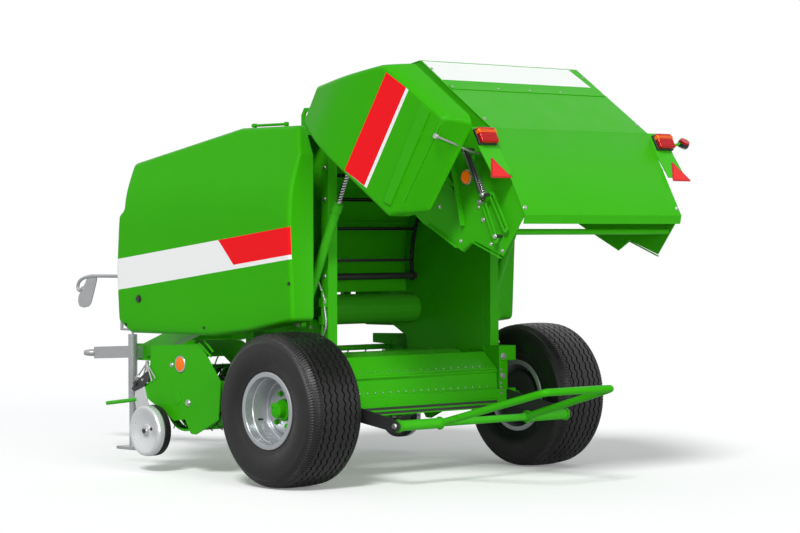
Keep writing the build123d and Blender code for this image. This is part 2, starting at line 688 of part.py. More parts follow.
# Gearbox on the front cross tube, the splined stub
gear_block = block(gearbox_x0, gearbox_x1 - 20, -gearbox_half, gearbox_half, rail_z1, gearbox_z + 110)
gear_block += rod_x(0, gearbox_z, 50, gearbox_x1 - 20, gearbox_x1)
add("gearbox", gear_block)
add("pto_stub", rod_x(0, gearbox_z, stub_r, gearbox_x1, gearbox_x1 + stub_len))

# Hose holder: bent tube ahead of the hood with a hanging spoon plate
holder_y = cover_inner_y - 85
holder_line = [(rail_front + 50 + seat_gap, holder_y, 1163), (2230, holder_y, 1160), (2284, holder_y, 1095)]
holder = tube_path(holder_line, 30, 11)
spoon = [(2115, 1152), (2200, 1152), (2262, 985), (2240, 960), (2190, 965), (2160, 1000)]
holder += plate_xz(spoon, holder_y - 3, holder_y + 3)
add("hose_holder", holder)

# Kicker frame and its brackets on the axle
kx, kz = kick_at
tx, tz = kick_tip
path = [(kx, kick_in, kz), (tx, kick_tip_half, tz), (tx, -kick_tip_half, tz), (kx, -kick_in, kz)]
kicker = tube_path(path, 70, kick_tube_r)
kicker += rod_y(kx, kz, kick_tube_r, -kick_in - 10, kick_in + 10)
knuckle = rod_y(kx, kz, kick_sleeve_r, kick_in, kick_out)
kicker += knuckle + mirrored(knuckle)
bore = rod_y(kx, kz, pin_r + running_fit, kick_out - 60, kick_out + clear)
kicker -= bore
kicker -= mirrored(bore)
add("bale_kicker", kicker)
stay_in = kick_out + 6
stay_line = [(-axle_tube / 2, axle_z0 + 5), (-axle_tube / 2, axle_top - 5), (kx, kz + 34), (kx - 34, kz + 10),
             (kx - 34, kz - 10), (kx, kz - 34)]
stay = plate_xz(stay_line, stay_in, stay_in + 12)
stay += rod_y(kx, kz, pin_r, kick_out - 55, stay_in + 6)
add("kicker_brackets", stay + mirrored(stay))

boxes = [shape.bounding_box() for shape in pieces.values()]
rear_x = min(box.min.X for box in boxes)
front_x = max(box.max.X for box in boxes)
centre_x = round((rear_x + front_x) / 2, 2)
for name, shape in pieces.items():
    export_step(Pos(-centre_x, 0, 0) * shape, "parts/" + name + ".step")
print(len(pieces), "pieces, centre", centre_x)
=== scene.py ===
import bpy
import bmesh
import json
import math
from mathutils import Matrix, Vector, geometry


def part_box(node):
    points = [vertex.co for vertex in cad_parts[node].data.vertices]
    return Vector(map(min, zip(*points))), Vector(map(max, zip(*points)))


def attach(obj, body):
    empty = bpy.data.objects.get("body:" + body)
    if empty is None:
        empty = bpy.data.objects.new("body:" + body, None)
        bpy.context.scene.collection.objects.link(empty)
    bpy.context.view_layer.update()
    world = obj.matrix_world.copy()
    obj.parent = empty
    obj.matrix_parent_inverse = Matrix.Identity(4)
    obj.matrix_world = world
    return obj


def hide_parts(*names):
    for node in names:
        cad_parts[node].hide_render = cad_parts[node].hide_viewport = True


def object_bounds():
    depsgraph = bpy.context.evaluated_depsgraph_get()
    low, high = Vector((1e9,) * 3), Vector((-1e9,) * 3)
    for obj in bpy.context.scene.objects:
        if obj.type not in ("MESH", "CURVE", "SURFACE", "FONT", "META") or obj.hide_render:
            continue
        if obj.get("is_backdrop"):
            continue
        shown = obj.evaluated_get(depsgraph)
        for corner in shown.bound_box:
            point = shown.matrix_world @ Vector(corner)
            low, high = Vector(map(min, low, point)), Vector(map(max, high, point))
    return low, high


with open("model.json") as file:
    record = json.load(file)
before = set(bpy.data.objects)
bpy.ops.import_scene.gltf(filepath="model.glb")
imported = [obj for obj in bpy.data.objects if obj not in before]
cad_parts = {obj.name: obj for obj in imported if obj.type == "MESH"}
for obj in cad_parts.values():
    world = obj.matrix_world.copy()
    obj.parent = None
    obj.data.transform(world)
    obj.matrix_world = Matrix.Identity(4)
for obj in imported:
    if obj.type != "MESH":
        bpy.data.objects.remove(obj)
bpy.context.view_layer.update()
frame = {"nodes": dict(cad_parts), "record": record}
nodes = frame["nodes"]
bodies = frame["record"]["behaviour"]["bodies"]
bodyOf = {node: body for body, members in bodies.items() for node in members}
axleX = sum(corner.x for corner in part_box("axle_beam")) / 2
mm = 0.001
hands = (("left", 1), ("right", -1))
outward = {sign: Vector((0, sign, 0)) for sign in (-1, 1)}


# Places: millimetres from the axle, the tailgate's own are drawn closed and swung up
def at(x, y, z):
    return Vector((x * mm + axleX, y * mm, z * mm))


gate = {"x": 50.0, "z": 1950.0, "turn": math.radians(55)}


def raised(x, y, z):
    dx, dz = x - gate["x"], z - gate["z"]
    c, s = math.cos(gate["turn"]), math.sin(gate["turn"])
    return at(gate["x"] + dx * c + dz * s, y, gate["z"] - dx * s + dz * c)


def raisedWay(x, y, z):
    return (raised(x * 1000, y * 1000, z * 1000) - raised(0, 0, 0)).normalized()


# Node helpers for shader and geometry trees
def wire(tree, node, wires):
    for key, value in wires.items():
        if isinstance(value, bpy.types.NodeSocket):
            tree.links.new(value, node.inputs[key])
        else:
            node.inputs[key].default_value = value


def put(tree, kind, wires=None, **settings):
    node = tree.nodes.new(kind)
    for key, value in settings.items():
        setattr(node, key, value)
    wire(tree, node, wires or {})
    return node


def geo(tree, kind, wires=None, **settings):
    return put(tree, "GeometryNode" + kind, wires, **settings).outputs[0]


def maths(tree, operation, first, second=0.0):
    return put(tree, "ShaderNodeMath", {0: first, 1: second}, operation=operation).outputs[0]


def dotted(tree, place, way):
    return put(tree, "ShaderNodeVectorMath", {0: place, 1: way}, operation="DOT_PRODUCT").outputs["Value"]


def blended(tree, factor, first, second):
    return put(tree, "ShaderNodeMixRGB", {"Fac": factor, "Color1": first, "Color2": second}).outputs[0]


def ranged(tree, value, low, high, toLow, toHigh):
    wires = {"Value": value, "From Min": low, "From Max": high, "To Min": toLow, "To Max": toHigh}
    return put(tree, "ShaderNodeMapRange", wires).outputs[0]


def noise(tree, place, scale, detail=2.0, rough=0.5):
    wires = {"Vector": place, "Scale": scale, "Detail": detail, "Roughness": rough}
    return put(tree, "ShaderNodeTexNoise", wires).outputs[0]


def bumped(tree, height, strength, distance):
    wires = {"Strength": strength, "Distance": distance, "Height": height}
    return put(tree, "ShaderNodeBump", wires).outputs[0]


def shade(colour, share=1.0, more=0.0):
    return tuple(min(1, v * share + more) for v in colour) + (1,)


def maskOf(tree, place, planes):
    # One inside all the planes, each a point and a way in
    nearest = None
    for spot, way in planes:
        reach = maths(tree, "SUBTRACT", dotted(tree, place, way), Vector(spot).dot(Vector(way)))
        nearest = reach if nearest is None else maths(tree, "MINIMUM", nearest, reach)
    return maths(tree, "GREATER_THAN", nearest, 0.0)


def sidePlanes(points, place):
    # Planes round a convex patch drawn in the side view, in metres from the axle
    corners = [place(x * 1000, 0, z * 1000) for x, z in points]
    middle = sum(corners, Vector()) / len(corners)
    planes = []
    for a, b in zip(corners, corners[1:] + corners[:1]):
        way = Vector((a.z - b.z, 0, b.x - a.x)).normalized()
        planes.append((a, way if way.dot(middle - a) > 0 else -way))
    return planes


def begun(name):
    mat = bpy.data.materials.new(name)
    mat.use_nodes = True
    tree = mat.node_tree
    where = put(tree, "ShaderNodeTexCoord").outputs
    return mat, tree, tree.nodes["Principled BSDF"], where["Object"], where["Normal"]


paintLook = {"specular": 0.07, "coat": 0.03, "coatRough": 0.16, "sway": 0.035, "dust": (0.34, 0.33, 0.22)}


def paintMaterial(name, colour, gloss=0.34, bands=(), worn=0.02):
    # Bands: colour, planes round it, and the way that its face looks
    mat, tree, shader, place, way = begun(name)
    tint = blended(tree, noise(tree, place, 2.2, 4), shade(colour, 0.93), shade(colour, 1.06))
    for band, planes, side in bands:
        facing = maths(tree, "GREATER_THAN", dotted(tree, way, side), 0.45)
        tint = blended(tree, maths(tree, "MULTIPLY", maskOf(tree, place, planes), facing), tint, shade(band))
    # Painted highlight: convex edges are paler; painted shade: hollow corners are darker. Dust lies on what looks up
    edge = put(tree, "ShaderNodeNewGeometry").outputs["Pointiness"]
    tint = blended(tree, ranged(tree, edge, 0.53, 0.62, 0.0, 0.22), tint, shade(colour, 1.5, 0.05))
    tint = blended(tree, ranged(tree, edge, 0.40, 0.47, 0.35, 0.0), tint, shade(colour, 0.35))
    up = put(tree, "ShaderNodeSeparateXYZ", {0: way}).outputs["Z"]
    dust = ranged(tree, noise(tree, place, 5, 5, 0.6), 0.45, 0.75, 0.0, worn * 2)
    dust = maths(tree, "MULTIPLY", ranged(tree, up, 0.55, 1.0, 0.0, 1.0), dust)
    wire(tree, shader, {
        "Base Color": blended(tree, dust, tint, shade(paintLook["dust"])),
        "Roughness": ranged(tree, noise(tree, place, 7, 4), 0.3, 0.7, gloss - 0.05, gloss + 0.07),
        "Normal": bumped(tree, noise(tree, place, 5.5, 1), paintLook["sway"], 0.004),
        "Specular IOR Level": paintLook["specular"],
        "Coat Weight": paintLook["coat"], "Coat Roughness": paintLook["coatRough"],
    })
    return mat


def metalMaterial(name, colour, rough, metallic=1.0, grain=(60, 60, 60), stain=0.12, bump=0.1, mottle=0.35):
    mat, tree, shader, place, _ = begun(name)
    streaks = put(tree, "ShaderNodeMapping", {"Vector": place, "Scale": grain}).outputs[0]
    brushed = noise(tree, streaks, 8, 4, 0.6)
    stained = ranged(tree, noise(tree, place, 7, 5, 0.6), 0.4, 0.75, 0.0, stain * 3)
    tint = blended(tree, stained, shade(colour), shade(colour, 0.6))
    spread = mottle / 0.35
    wire(tree, shader, {
        "Base Color": blended(tree, ranged(tree, brushed, 0.3, 0.7, 0.0, mottle), tint, shade(colour, 0.82)),
        "Roughness": ranged(tree, brushed, 0.3, 0.7, rough - 0.06 * spread, rough + 0.1 * spread),
        "Normal": bumped(tree, brushed, bump, 0.0005),
        "Metallic": metallic, "Specular IOR Level": 0.4,
    })
    return mat


def rubberMaterial(name, colour):
    mat, tree, shader, place, _ = begun(name)
    dusty = ranged(tree, noise(tree, place, 14, 6, 0.65), 0.45, 0.8, 0.0, 0.4)
    wire(tree, shader, {
        "Base Color": blended(tree, dusty, shade(colour), shade(colour, 1.8, 0.003)),
        "Roughness": ranged(tree, noise(tree, place, 40, 4), 0.3, 0.7, 0.36, 0.52),
        "Normal": bumped(tree, noise(tree, place, 180, 3), 0.12, 0.0006),
        "Specular IOR Level": 0.42,
    })
    return mat


def lensMaterial(name, colour, ribs=380.0, glow=0.0):
    mat, tree, shader, place, _ = begun(name)
    ribbed = {"Vector": place, "Scale": ribs / 5}
    wave = put(tree, "ShaderNodeTexWave", ribbed, bands_direction="DIAGONAL").outputs[1]
    wire(tree, shader, {
        "Base Color": blended(tree, wave, shade(colour, 0.55), shade(colour)),
        "Normal": bumped(tree, wave, 0.35, 0.0004),
        "Roughness": 0.14, "Specular IOR Level": 0.2, "Coat Weight": 0.08, "Coat Roughness": 0.04,
        # Emission by glow: painted light, the lens glows with no lamp behind it
        "Emission Color": shade(colour), "Emission Strength": glow,
    })
    return mat


# Paints: the covers' bands are patches drawn in the side view, in metres from the axle
bandColours = {"white": (0.88, 0.88, 0.88), "red": (0.88, 0.008, 0.014)}
bandShapes = {
    "front": {
        "white": [(1.60, 1.2645), (-0.102, 1.465), (-0.112, 1.285), (1.60, 1.079)],
        "red": [(0.55, 1.388), (-0.102, 1.465), (-0.102, 1.309), (0.419, 1.246)],
    },
    "gate": {
        "white": [(-0.144, 1.354), (-0.761, 1.371), (-0.773, 1.178), (-0.161, 1.158)],
        "red": [(-0.144, 1.354), (-0.761, 1.371), (-0.773, 1.200), (-0.161, 1.180)],
    },
}
green = (0.034, 0.395, 0.0012)
greenPaint = paintMaterial("greenPaint", green)
coverPaint = {}
for hand, sign in hands:
    for part, place in (("front", at), ("gate", raised)):
        shapes = bandShapes[part].items()
        bands = [(bandColours[tone], sidePlanes(shape, place), (0, sign, 0)) for tone, shape in shapes]
        coverPaint[part + hand] = paintMaterial(part + "CoverPaint_" + hand, green, bands=bands)
rearBand = [
    (raised(-722, 0, 1582), raisedWay(0, 0, -1)), (raised(-722, 0, 1392), raisedWay(0, 0, 1)),
    (raised(-722, 612, 1500), Vector((0, -1, 0))),
    (raised(-722, -548, 1582), Vector((0, 1, 0)) + raisedWay(0, 0, -1) * 0.12),
]
skinPaint = paintMaterial("skinPaint", green, bands=[(bandColours["white"], rearBand, raisedWay(-1, 0, 0))])
# Darker copy of the green for the rollers and rotor inside the chamber: painted shade
innerShadedPaint = paintMaterial("innerShadedPaint", (0.030, 0.30, 0.004), gloss=0.42, worn=0.1)
tyreRubber = rubberMaterial("tyreRubber", (0.0060, 0.0056, 0.0058))
cast = {"grain": (10, 10, 10), "bump": 0.01}
rimPaint = metalMaterial("rimPaint", (0.44, 0.455, 0.475), 0.28, metallic=0.6, stain=0.04, mottle=0.06, **cast)
gaugePaint = metalMaterial("gaugePaint", (0.66, 0.67, 0.685), 0.28, metallic=0.4, stain=0.03, mottle=0.05, **cast)
darkSteel = metalMaterial("darkSteel", (0.060, 0.062, 0.060), 0.46, metallic=0.6, grain=(30, 4, 30))
greySteel = metalMaterial("greySteel", (0.46, 0.47, 0.48), 0.38, metallic=0.6, grain=(12, 60, 60))
springSteel = metalMaterial("springSteel", (0.30, 0.305, 0.31), 0.33)
zincSteel = metalMaterial("zincSteel", (0.55, 0.555, 0.55), 0.32, metallic=0.8, grain=(20, 20, 20))
redLens = lensMaterial("redLens", (0.62, 0.006, 0.008))
# The amber stripes and reflectors glow: painted light
amberLens = lensMaterial("amberLens", (0.90, 0.17, 0.003), ribs=520.0, glow=0.3)
clearLens = lensMaterial("clearLens", (0.78, 0.77, 0.74))
# The red triangle reflectors glow: painted light
reflectRed = lensMaterial("reflectRed", (0.70, 0.004, 0.006), ribs=900.0, glow=0.35)
blackPlastic = rubberMaterial("blackPlastic", (0.020, 0.020, 0.021))
slotOf = {
    "tyreRubber": "tyre_rubber", "blackPlastic": "tyre_rubber", "rimPaint": "rim_silver", "gaugePaint": "gauge_steel",
    "darkSteel": "dark_steel", "greySteel": "grey_steel", "zincSteel": "grey_steel", "springSteel": "spring_steel",
    "redLens": "red_lens", "amberLens": "red_lens", "clearLens": "red_lens", "reflectRed": "red_lens",
}
print("materials ready")


# Meshes and pieces
def smoothed(mesh, angle=35):
    mesh.shade_smooth()
    mesh.set_sharp_from_angle(angle=math.radians(angle))


def linked(name, data):
    thing = bpy.data.objects.new(name, data)
    bpy.context.scene.collection.objects.link(thing)
    return thing


def flattened(carrier):
    # Plain mesh of an object under its modifiers; the object goes
    made = bpy.data.meshes.new_from_object(carrier.evaluated_get(bpy.context.evaluated_depsgraph_get()))
    bpy.data.objects.remove(carrier)
    return made


def baked(mesh, *modifiers):
    # Modifiers: each a type and its settings
    carrier = linked("carrier", mesh)
    for kind, settings in modifiers:
        mod = carrier.modifiers.new(kind, kind)
        for key, value in settings.items():
            setattr(mod, key, value)
    return flattened(carrier)


evened = ("WEIGHTED_NORMAL", {"mode": "FACE_AREA", "weight": 100, "keep_sharp": True})


def eased(width, angle):
    settings = {"width": width * mm, "segments": 2, "limit_method": "ANGLE", "angle_limit": math.radians(angle)}
    return "BEVEL", settings


def meshOf(bm, weld=False, turned=True):
    if weld:
        bmesh.ops.remove_doubles(bm, verts=bm.verts, dist=0.00001)
    if turned:
        bmesh.ops.recalc_face_normals(bm, faces=bm.faces)
    mesh = bpy.data.meshes.new("shape")
    bm.to_mesh(mesh)
    bm.free()
    return mesh


def merged(*meshes):
    bm = bmesh.new()
    for each in meshes:
        bm.from_mesh(each)
    return baked(meshOf(bm, turned=False), evened)


def newPiece(name, mesh, material, body, *replaces, slot=None):
    # A list of meshes becomes one; a slot is looked up from the material but not kept
    mesh = merged(*mesh) if isinstance(mesh, list) else mesh
    slot = slot or slotOf.get(material.name, "green_paint")
    piece = linked(name, mesh)
    mesh.materials.clear()
    mesh.materials.append(material)
    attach(piece, body)
    if replaces:
        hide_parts(*replaces)


def softened(node, material, width):
    # CAD node with its faces joined up and its edges eased
    mesh = nodes[node].data.copy()
    bm = bmesh.new()
    bm.from_mesh(mesh)
    bmesh.ops.remove_doubles(bm, verts=bm.verts, dist=0.00002)
    bmesh.ops.dissolve_limit(bm, angle_limit=math.radians(1.0), verts=bm.verts, edges=bm.edges)
    bmesh.ops.recalc_face_normals(bm, faces=bm.faces)
    bm.to_mesh(mesh)
    bm.free()
    mesh.shade_smooth()
    newPiece(node + "_pressed", baked(mesh, eased(width, 28), evened), material, bodyOf[node], node)


def skinned(bm, rings):
    # Quads from each ring to the next
    for near, far in zip(rings, rings[1:]):
        for j in range(len(near)):
            k = (j + 1) % len(near)
            bm.faces.new((near[j], near[k], far[k], far[j]))


def lathed(profile, centre, steps, sharp=30):
    # Turns a closed loop of (radius, along the axis) round the y axis through centre
    bm = bmesh.new()
    rings = []
    for i in range(steps):
        a = 2 * math.pi * i / steps
        c, s = math.cos(a), math.sin(a)
        rings.append([bm.verts.new(at(centre[0] + r * s, centre[1] + y, centre[2] + r * c)) for r, y in profile])
    for near, far in zip(rings, rings[1:] + rings[:1]):
        for j in range(len(profile)):
            k = (j + 1) % len(profile)
            if max(profile[j][0], profile[k][0]) >= 0.01:
                bm.faces.new([near[j], near[k], far[k], far[j]])
    mesh = meshOf(bm, weld=True)
    smoothed(mesh, sharp)
    return mesh


def lathedDisc(centre, sign, profile, steps=36):
    # Turned disc on a side face: (radius, outwards) from a place in the scene
    local = lathed([(r, sign * y) for r, y in profile], (0, 0, 0), steps, 35)
    local.transform(Matrix.Translation(centre - at(0, 0, 0)))
    return local


def curved(points, perRun=6):
    # Smooth open line through the points
    line = []
    for i in range(len(points) - 1):
        p0 = Vector(points[max(i - 1, 0)])
        p1, p2 = Vector(points[i]), Vector(points[i + 1])
        p3 = Vector(points[min(i + 2, len(points) - 1)])
        for k in range(perRun):
            t = k / perRun
            bend, swing = 2 * p0 - 5 * p1 + 4 * p2 - p3, 3 * p1 - p0 - 3 * p2 + p3
            line.append(0.5 * ((2 * p1) + (p2 - p0) * t + bend * t * t + swing * t ** 3))
    return line + [Vector(points[-1])]


def roundedLoop(points, radius, steps=5):
    # Fillets the corners of a closed loop
    loop = []
    count = len(points)
    for i, p in enumerate(points):
        p = Vector(p)
        before, after = Vector(points[i - 1]) - p, Vector(points[(i + 1) % count]) - p
        half = before.angle(after) / 2
        back = min(radius / math.tan(half), before.length * 0.45, after.length * 0.45)
        a, b = p + before.normalized() * back, p + after.normalized() * back
        for k in range(steps + 1):
            t = k / steps
            loop.append(a * (1 - t) ** 2 + p * 2 * t * (1 - t) + b * t * t)
    return loop


def resampled(loop, spacing):
    full = []
    for a, b in zip(loop, loop[1:] + loop[:1]):
        parts = max(1, round((b - a).length / spacing))
        full += [a + (b - a) * k / parts for k in range(parts)]
    return full


def inset(loop, gap):
    moved = []
    area = sum(a.x * b.y - b.x * a.y for a, b in zip(loop, loop[1:] + loop[:1]))
    turn = 1 if area > 0 else -1
    for i, p in enumerate(loop):
        before, after = (p - loop[i - 1]).normalized(), (loop[(i + 1) % len(loop)] - p).normalized()
        side = (Vector((-before.y, before.x)) + Vector((-after.y, after.x))).normalized() * turn
        moved.append(p + side * gap / max(0.5, side.dot(Vector((-before.y, before.x)) * turn)))
    return moved


def tidied(mesh, angle=35):
    bm = bmesh.new()
    bm.from_mesh(mesh)
    made = meshOf(bm, weld=True)
    smoothed(made, angle)
    return made


def prism(loop, way, width=1.0):
    # Solid between a flat loop and its copy moved by way, its edges eased by width
    bm = bmesh.new()
    low, high = [bm.verts.new(p) for p in loop], [bm.verts.new(p + way) for p in loop]
    bm.faces.new(low[::-1])
    bm.faces.new(high)
    skinned(bm, [low, high])
    mesh = meshOf(bm)
    if not width:
        return mesh
    mesh.shade_smooth()
    return baked(mesh, eased(width, 30), evened)


def plate(outline, y0, y1, place=at, width=1.0, radius=0.0):
    loop = roundedLoop(outline, radius, 4) if radius else [Vector(p) for p in outline]
    return prism([place(p.x, y0, p.y) for p in loop], place(0, y1, 0) - place(0, y0, 0), width)


def cuboid(centre, a, b, c, width=2.0):
    # Box with three half sides
    return prism([centre - a - b - c, centre + a - b - c, centre + a + b - c, centre - a + b - c], 2 * c, width)


def tube(points, radius, sides=12):
    # Round bar along the points, which are in the scene's metres
    line = bpy.data.curves.new("tube", "CURVE")
    line.dimensions = "3D"
    line.bevel_depth = radius * mm
    line.bevel_resolution = max(0, sides // 2 - 2)
    line.use_fill_caps = True
    spline = line.splines.new("POLY")
    spline.points.add(len(points) - 1)
    for point, p in zip(spline.points, points):
        point.co = (*p, 1)
    mesh = flattened(linked("carrier", line))
    smoothed(mesh, 40)
    return mesh


def bar(place, sign, start, end, radius, sides=14):
    # Straight round bar on one side of the machine
    return tube([place(x, sign * y, z) for x, y, z in (start, end)], radius, sides)


def spotsOn(place, sign, y, rows):
    # Bolt spots on a side face, from (x, z, width over corners)
    return [(place(x, sign * y, z), outward[sign], size) for x, z, size in rows]


# Geometry Nodes: copies round an axis, copies in a row, hexagon bolts on points, a coil spring
def newTree(name, **inputs):
    tree = bpy.data.node_groups.new(name, "GeometryNodeTree")
    tree.interface.new_socket("Geometry", in_out="OUTPUT", socket_type="NodeSocketGeometry")
    for label, kind in {"Geometry": "Geometry", **inputs}.items():
        tree.interface.new_socket(label, in_out="INPUT", socket_type="NodeSocket" + kind)
    return tree, put(tree, "NodeGroupInput").outputs


def finishTree(tree, made):
    put(tree, "NodeGroupOutput", {0: geo(tree, "RealizeInstances", {0: made})})


roundTree, given = newTree("copiesRoundAxis", Count="Int", First="Float", Step="Float", Centre="Vector")
order = geo(roundTree, "InputIndex")
turn = maths(roundTree, "ADD", given["First"], maths(roundTree, "MULTIPLY", order, given["Step"]))
spin = put(roundTree, "ShaderNodeCombineXYZ", {"Y": turn}).outputs[0]
spots = geo(roundTree, "Points", {"Count": given["Count"]})
wires = {"Points": spots, "Instance": given["Geometry"], "Rotation": spin}
copies = geo(roundTree, "InstanceOnPoints", wires)
placed = geo(roundTree, "Transform", {"Geometry": copies, "Translation": given["Centre"]})
finishTree(roundTree, placed)

rowTree, given = newTree("copiesInRow", Count="Int", Start="Vector", Step="Vector")
wires = {0: given["Step"], "Scale": geo(rowTree, "InputIndex")}
along = put(rowTree, "ShaderNodeVectorMath", wires, operation="SCALE").outputs[0]
along = put(rowTree, "ShaderNodeVectorMath", {0: given["Start"], 1: along}, operation="ADD").outputs[0]
spots = geo(rowTree, "Points", {"Count": given["Count"], "Position": along})
finishTree(rowTree, geo(rowTree, "InstanceOnPoints", {"Points": spots, "Instance": given["Geometry"]}))

boltTree, given = newTree("hexagonBolts", Corners="Int", Height="Float", Washer="Float")
wires = {"Vertices": given["Corners"], "Radius": 0.5, "Depth": given["Height"]}
head = geo(boltTree, "MeshCylinder", wires)
head = geo(boltTree, "Transform", {"Geometry": head, "Translation": (0, 0, 0.24)})
washer = geo(boltTree, "MeshCylinder", {"Vertices": 18, "Radius": given["Washer"], "Depth": 0.14})
both = put(boltTree, "GeometryNodeJoinGeometry")
boltTree.links.new(head, both.inputs[0])
boltTree.links.new(washer, both.inputs[0])
way = geo(boltTree, "InputNamedAttribute", {"Name": "way"}, data_type="FLOAT_VECTOR")
size = geo(boltTree, "InputNamedAttribute", {"Name": "size"}, data_type="FLOAT")
lean = put(boltTree, "FunctionNodeAlignRotationToVector", {"Vector": way}, axis="Z").outputs[0]
wires = {"Points": given["Geometry"], "Instance": both.outputs[0], "Rotation": lean, "Scale": size}
finishTree(boltTree, geo(boltTree, "InstanceOnPoints", wires))

measures = dict.fromkeys(("Turns", "Radius", "Length", "Wire"), "Float")
coilTree, given = newTree("coilSpring", **measures, Start="Vector", Way="Vector")
wires = {"Start Radius": given["Radius"], "End Radius": given["Radius"], "Height": given["Length"]}
line = geo(coilTree, "CurveSpiral", {"Resolution": 14, "Rotations": given["Turns"], **wires})
section = geo(coilTree, "CurvePrimitiveCircle", {"Resolution": 8, "Radius": given["Wire"]})
coil = geo(coilTree, "CurveToMesh", {"Curve": line, "Profile Curve": section, "Fill Caps": True})
lean = put(coilTree, "FunctionNodeAlignRotationToVector", {"Vector": given["Way"]}, axis="Z").outputs[0]
placed = geo(coilTree, "Transform", {"Geometry": coil, "Translation": given["Start"], "Rotation": lean})
finishTree(coilTree, placed)


def repeated(tree, unit, angle=40, **values):
    # Runs a tree on a unit mesh with its inputs by name and returns the plain mesh
    carrier = linked("carrier", unit or bpy.data.meshes.new("empty"))
    mod = carrier.modifiers.new("repeat", "NODES")
    mod.node_group = tree
    for item in tree.interface.items_tree:
        if item.in_out == "INPUT" and item.name in values:
            value = values[item.name]
            mod[item.identifier] = list(value) if isinstance(value, (Vector, tuple)) else value
    made = flattened(carrier)
    smoothed(made, angle)
    return made


def boltsOn(name, spots, body, material=zincSteel, corners=6, height=0.42, washer=0.7):
    # Spots: place, way that the head looks, width over corners in millimetres
    mesh = bpy.data.meshes.new(name)
    mesh.from_pydata([s[0] for s in spots], [], [])
    mesh.attributes.new("way", "FLOAT_VECTOR", "POINT")
    mesh.attributes.new("size", "FLOAT", "POINT")
    for i, (_, way, size) in enumerate(spots):
        mesh.attributes["way"].data[i].vector = way
        mesh.attributes["size"].data[i].value = size * mm
    made = repeated(boltTree, mesh, 30, Corners=corners, Height=height, Washer=washer)
    newPiece(name, made, material, body)


print("helpers ready")

# Camera at the photograph's place
photo = {
    "spot": (-10.751, 10.005, 1.433), "azimuth": -132.578, "height": 0.790, "roll": -0.119,
    "lens": 112.572, "shift": (-0.003, -0.00025),
}
a, e, roll = (math.radians(photo[k]) for k in ("azimuth", "height", "roll"))
back = Vector((math.sin(a) * math.cos(e), -math.cos(a) * math.cos(e), math.sin(e)))
right = Vector((math.cos(a), math.sin(a), 0))
up = back.cross(right)
right, up = right * math.cos(roll) + up * math.sin(roll), up * math.cos(roll) - right * math.sin(roll)
lens = bpy.data.cameras.new("photoCamera")
lens.lens = photo["lens"]
lens.sensor_width = 36
lens.shift_x, lens.shift_y = photo["shift"]
lens.clip_end = 100
camera = linked("photoCamera", lens)
spot = Vector(photo["spot"]) + Vector((axleX, 0, 0))
camera.matrix_world = Matrix.Translation(spot) @ Matrix((right, up, back)).transposed().to_4x4()
bpy.context.scene.camera = camera
bpy.context.scene.view_settings.view_transform = "Standard"

# A broad key light over the camera's left shoulder and a very soft fill from behind the machine
studio = {
    "key": {"from": (-0.42, 0.58, 0.60), "angle": 14.0, "power": 2.15},
    "fill": {"from": (-0.95, 0.26, 0.05), "angle": 40.0, "power": 2.1},
}
for name, each in studio.items():
    lamp = bpy.data.lights.new(name, "SUN")
    lamp.angle = math.radians(each["angle"])
    lamp.energy = each["power"]
    light = linked(name, lamp)
    light.rotation_mode = "QUATERNION"
    light.rotation_quaternion = (-Vector(each["from"])).to_track_quat("-Z", "Y")

world = bpy.data.worlds.new("studioWorld")
bpy.context.scene.world = world
world.use_nodes = True
tree = world.node_tree
tree.nodes.clear()
paths = put(tree, "ShaderNodeLightPath").outputs
seen = maths(tree, "MAXIMUM", paths["Is Camera Ray"], paths["Is Glossy Ray"])
seen = maths(tree, "MAXIMUM", seen, paths["Is Transmission Ray"])
soft = put(tree, "ShaderNodeBackground", {"Color": (0.95, 0.97, 1.0, 1), "Strength": 0.30})
plain = put(tree, "ShaderNodeBackground", {"Color": (1, 1, 1, 1), "Strength": 1.0})
both = put(tree, "ShaderNodeMixShader", {0: seen, 1: soft.outputs[0], 2: plain.outputs[0]})
put(tree, "ShaderNodeOutputWorld", {"Surface": both.outputs[0]})

floor = {"reach": 300.0, "tone": 0.70, "shown": 1.06, "lift": 0.17}
mat = bpy.data.materials.new("paleFloor")
mat.use_nodes = True
tree = mat.node_tree
tree.nodes.clear()
paths = put(tree, "ShaderNodeLightPath").outputs
place = put(tree, "ShaderNodeTexCoord").outputs["Object"]
pale = (floor["tone"],) * 3
tone = blended(tree, noise(tree, place, 0.6), shade(pale), shade(pale, 1.02))
tone = blended(tree, paths["Is Camera Ray"], tone, (floor["shown"],) * 3 + (1,))
matt = put(tree, "ShaderNodeBsdfDiffuse", {"Color": tone})
lifted = maths(tree, "MULTIPLY", paths["Is Camera Ray"], floor["lift"])
glow = put(tree, "ShaderNodeEmission", {"Color": (1, 1, 1, 1), "Strength": lifted})
total = put(tree, "ShaderNodeAddShader", {0: matt.outputs[0], 1: glow.outputs[0]})
put(tree, "ShaderNodeOutputMaterial", {"Surface": total.outputs[0]})
mesh = bpy.data.meshes.new("floor")
r = floor["reach"]
mesh.from_pydata([(-r, -r, 0), (r, -r, 0), (r, r, 0), (-r, r, 0)], [], [range(4)])
mesh.materials.append(mat)
ground = linked("floor", mesh)
ground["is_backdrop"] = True
print("camera, light and floor ready")

# Pressed side covers: a crowned face with a rolled edge and a flange towards the machine
cover = {
    "roll": 24.0, "corner": 34.0, "wall": 4.0, "inner": 885.0, "spacing": 34.0,
    "steps": (0.0, 0.06, 0.16, 0.32, 0.55, 0.8, 1.0),
    "folds": (-748, -764, -772, -781, -800), "creases": (890, 880, 872),
}
coverShape = [
    (780, 1000), (832, 1018), (885, 1032), (1010, 1041), (1250, 1052),
    (1400, 1059), (1530, 1062), (1680, 1046), (1870, 985), (2070, 922),
]
coverCurve = curved(coverShape, 5)


def coverFace(x, z):
    for a, b in zip(coverCurve, coverCurve[1:]):
        if z <= b.x:
            return a.y + (b.y - a.y) * (z - a.x) / (b.x - a.x)
    return coverCurve[-1].y


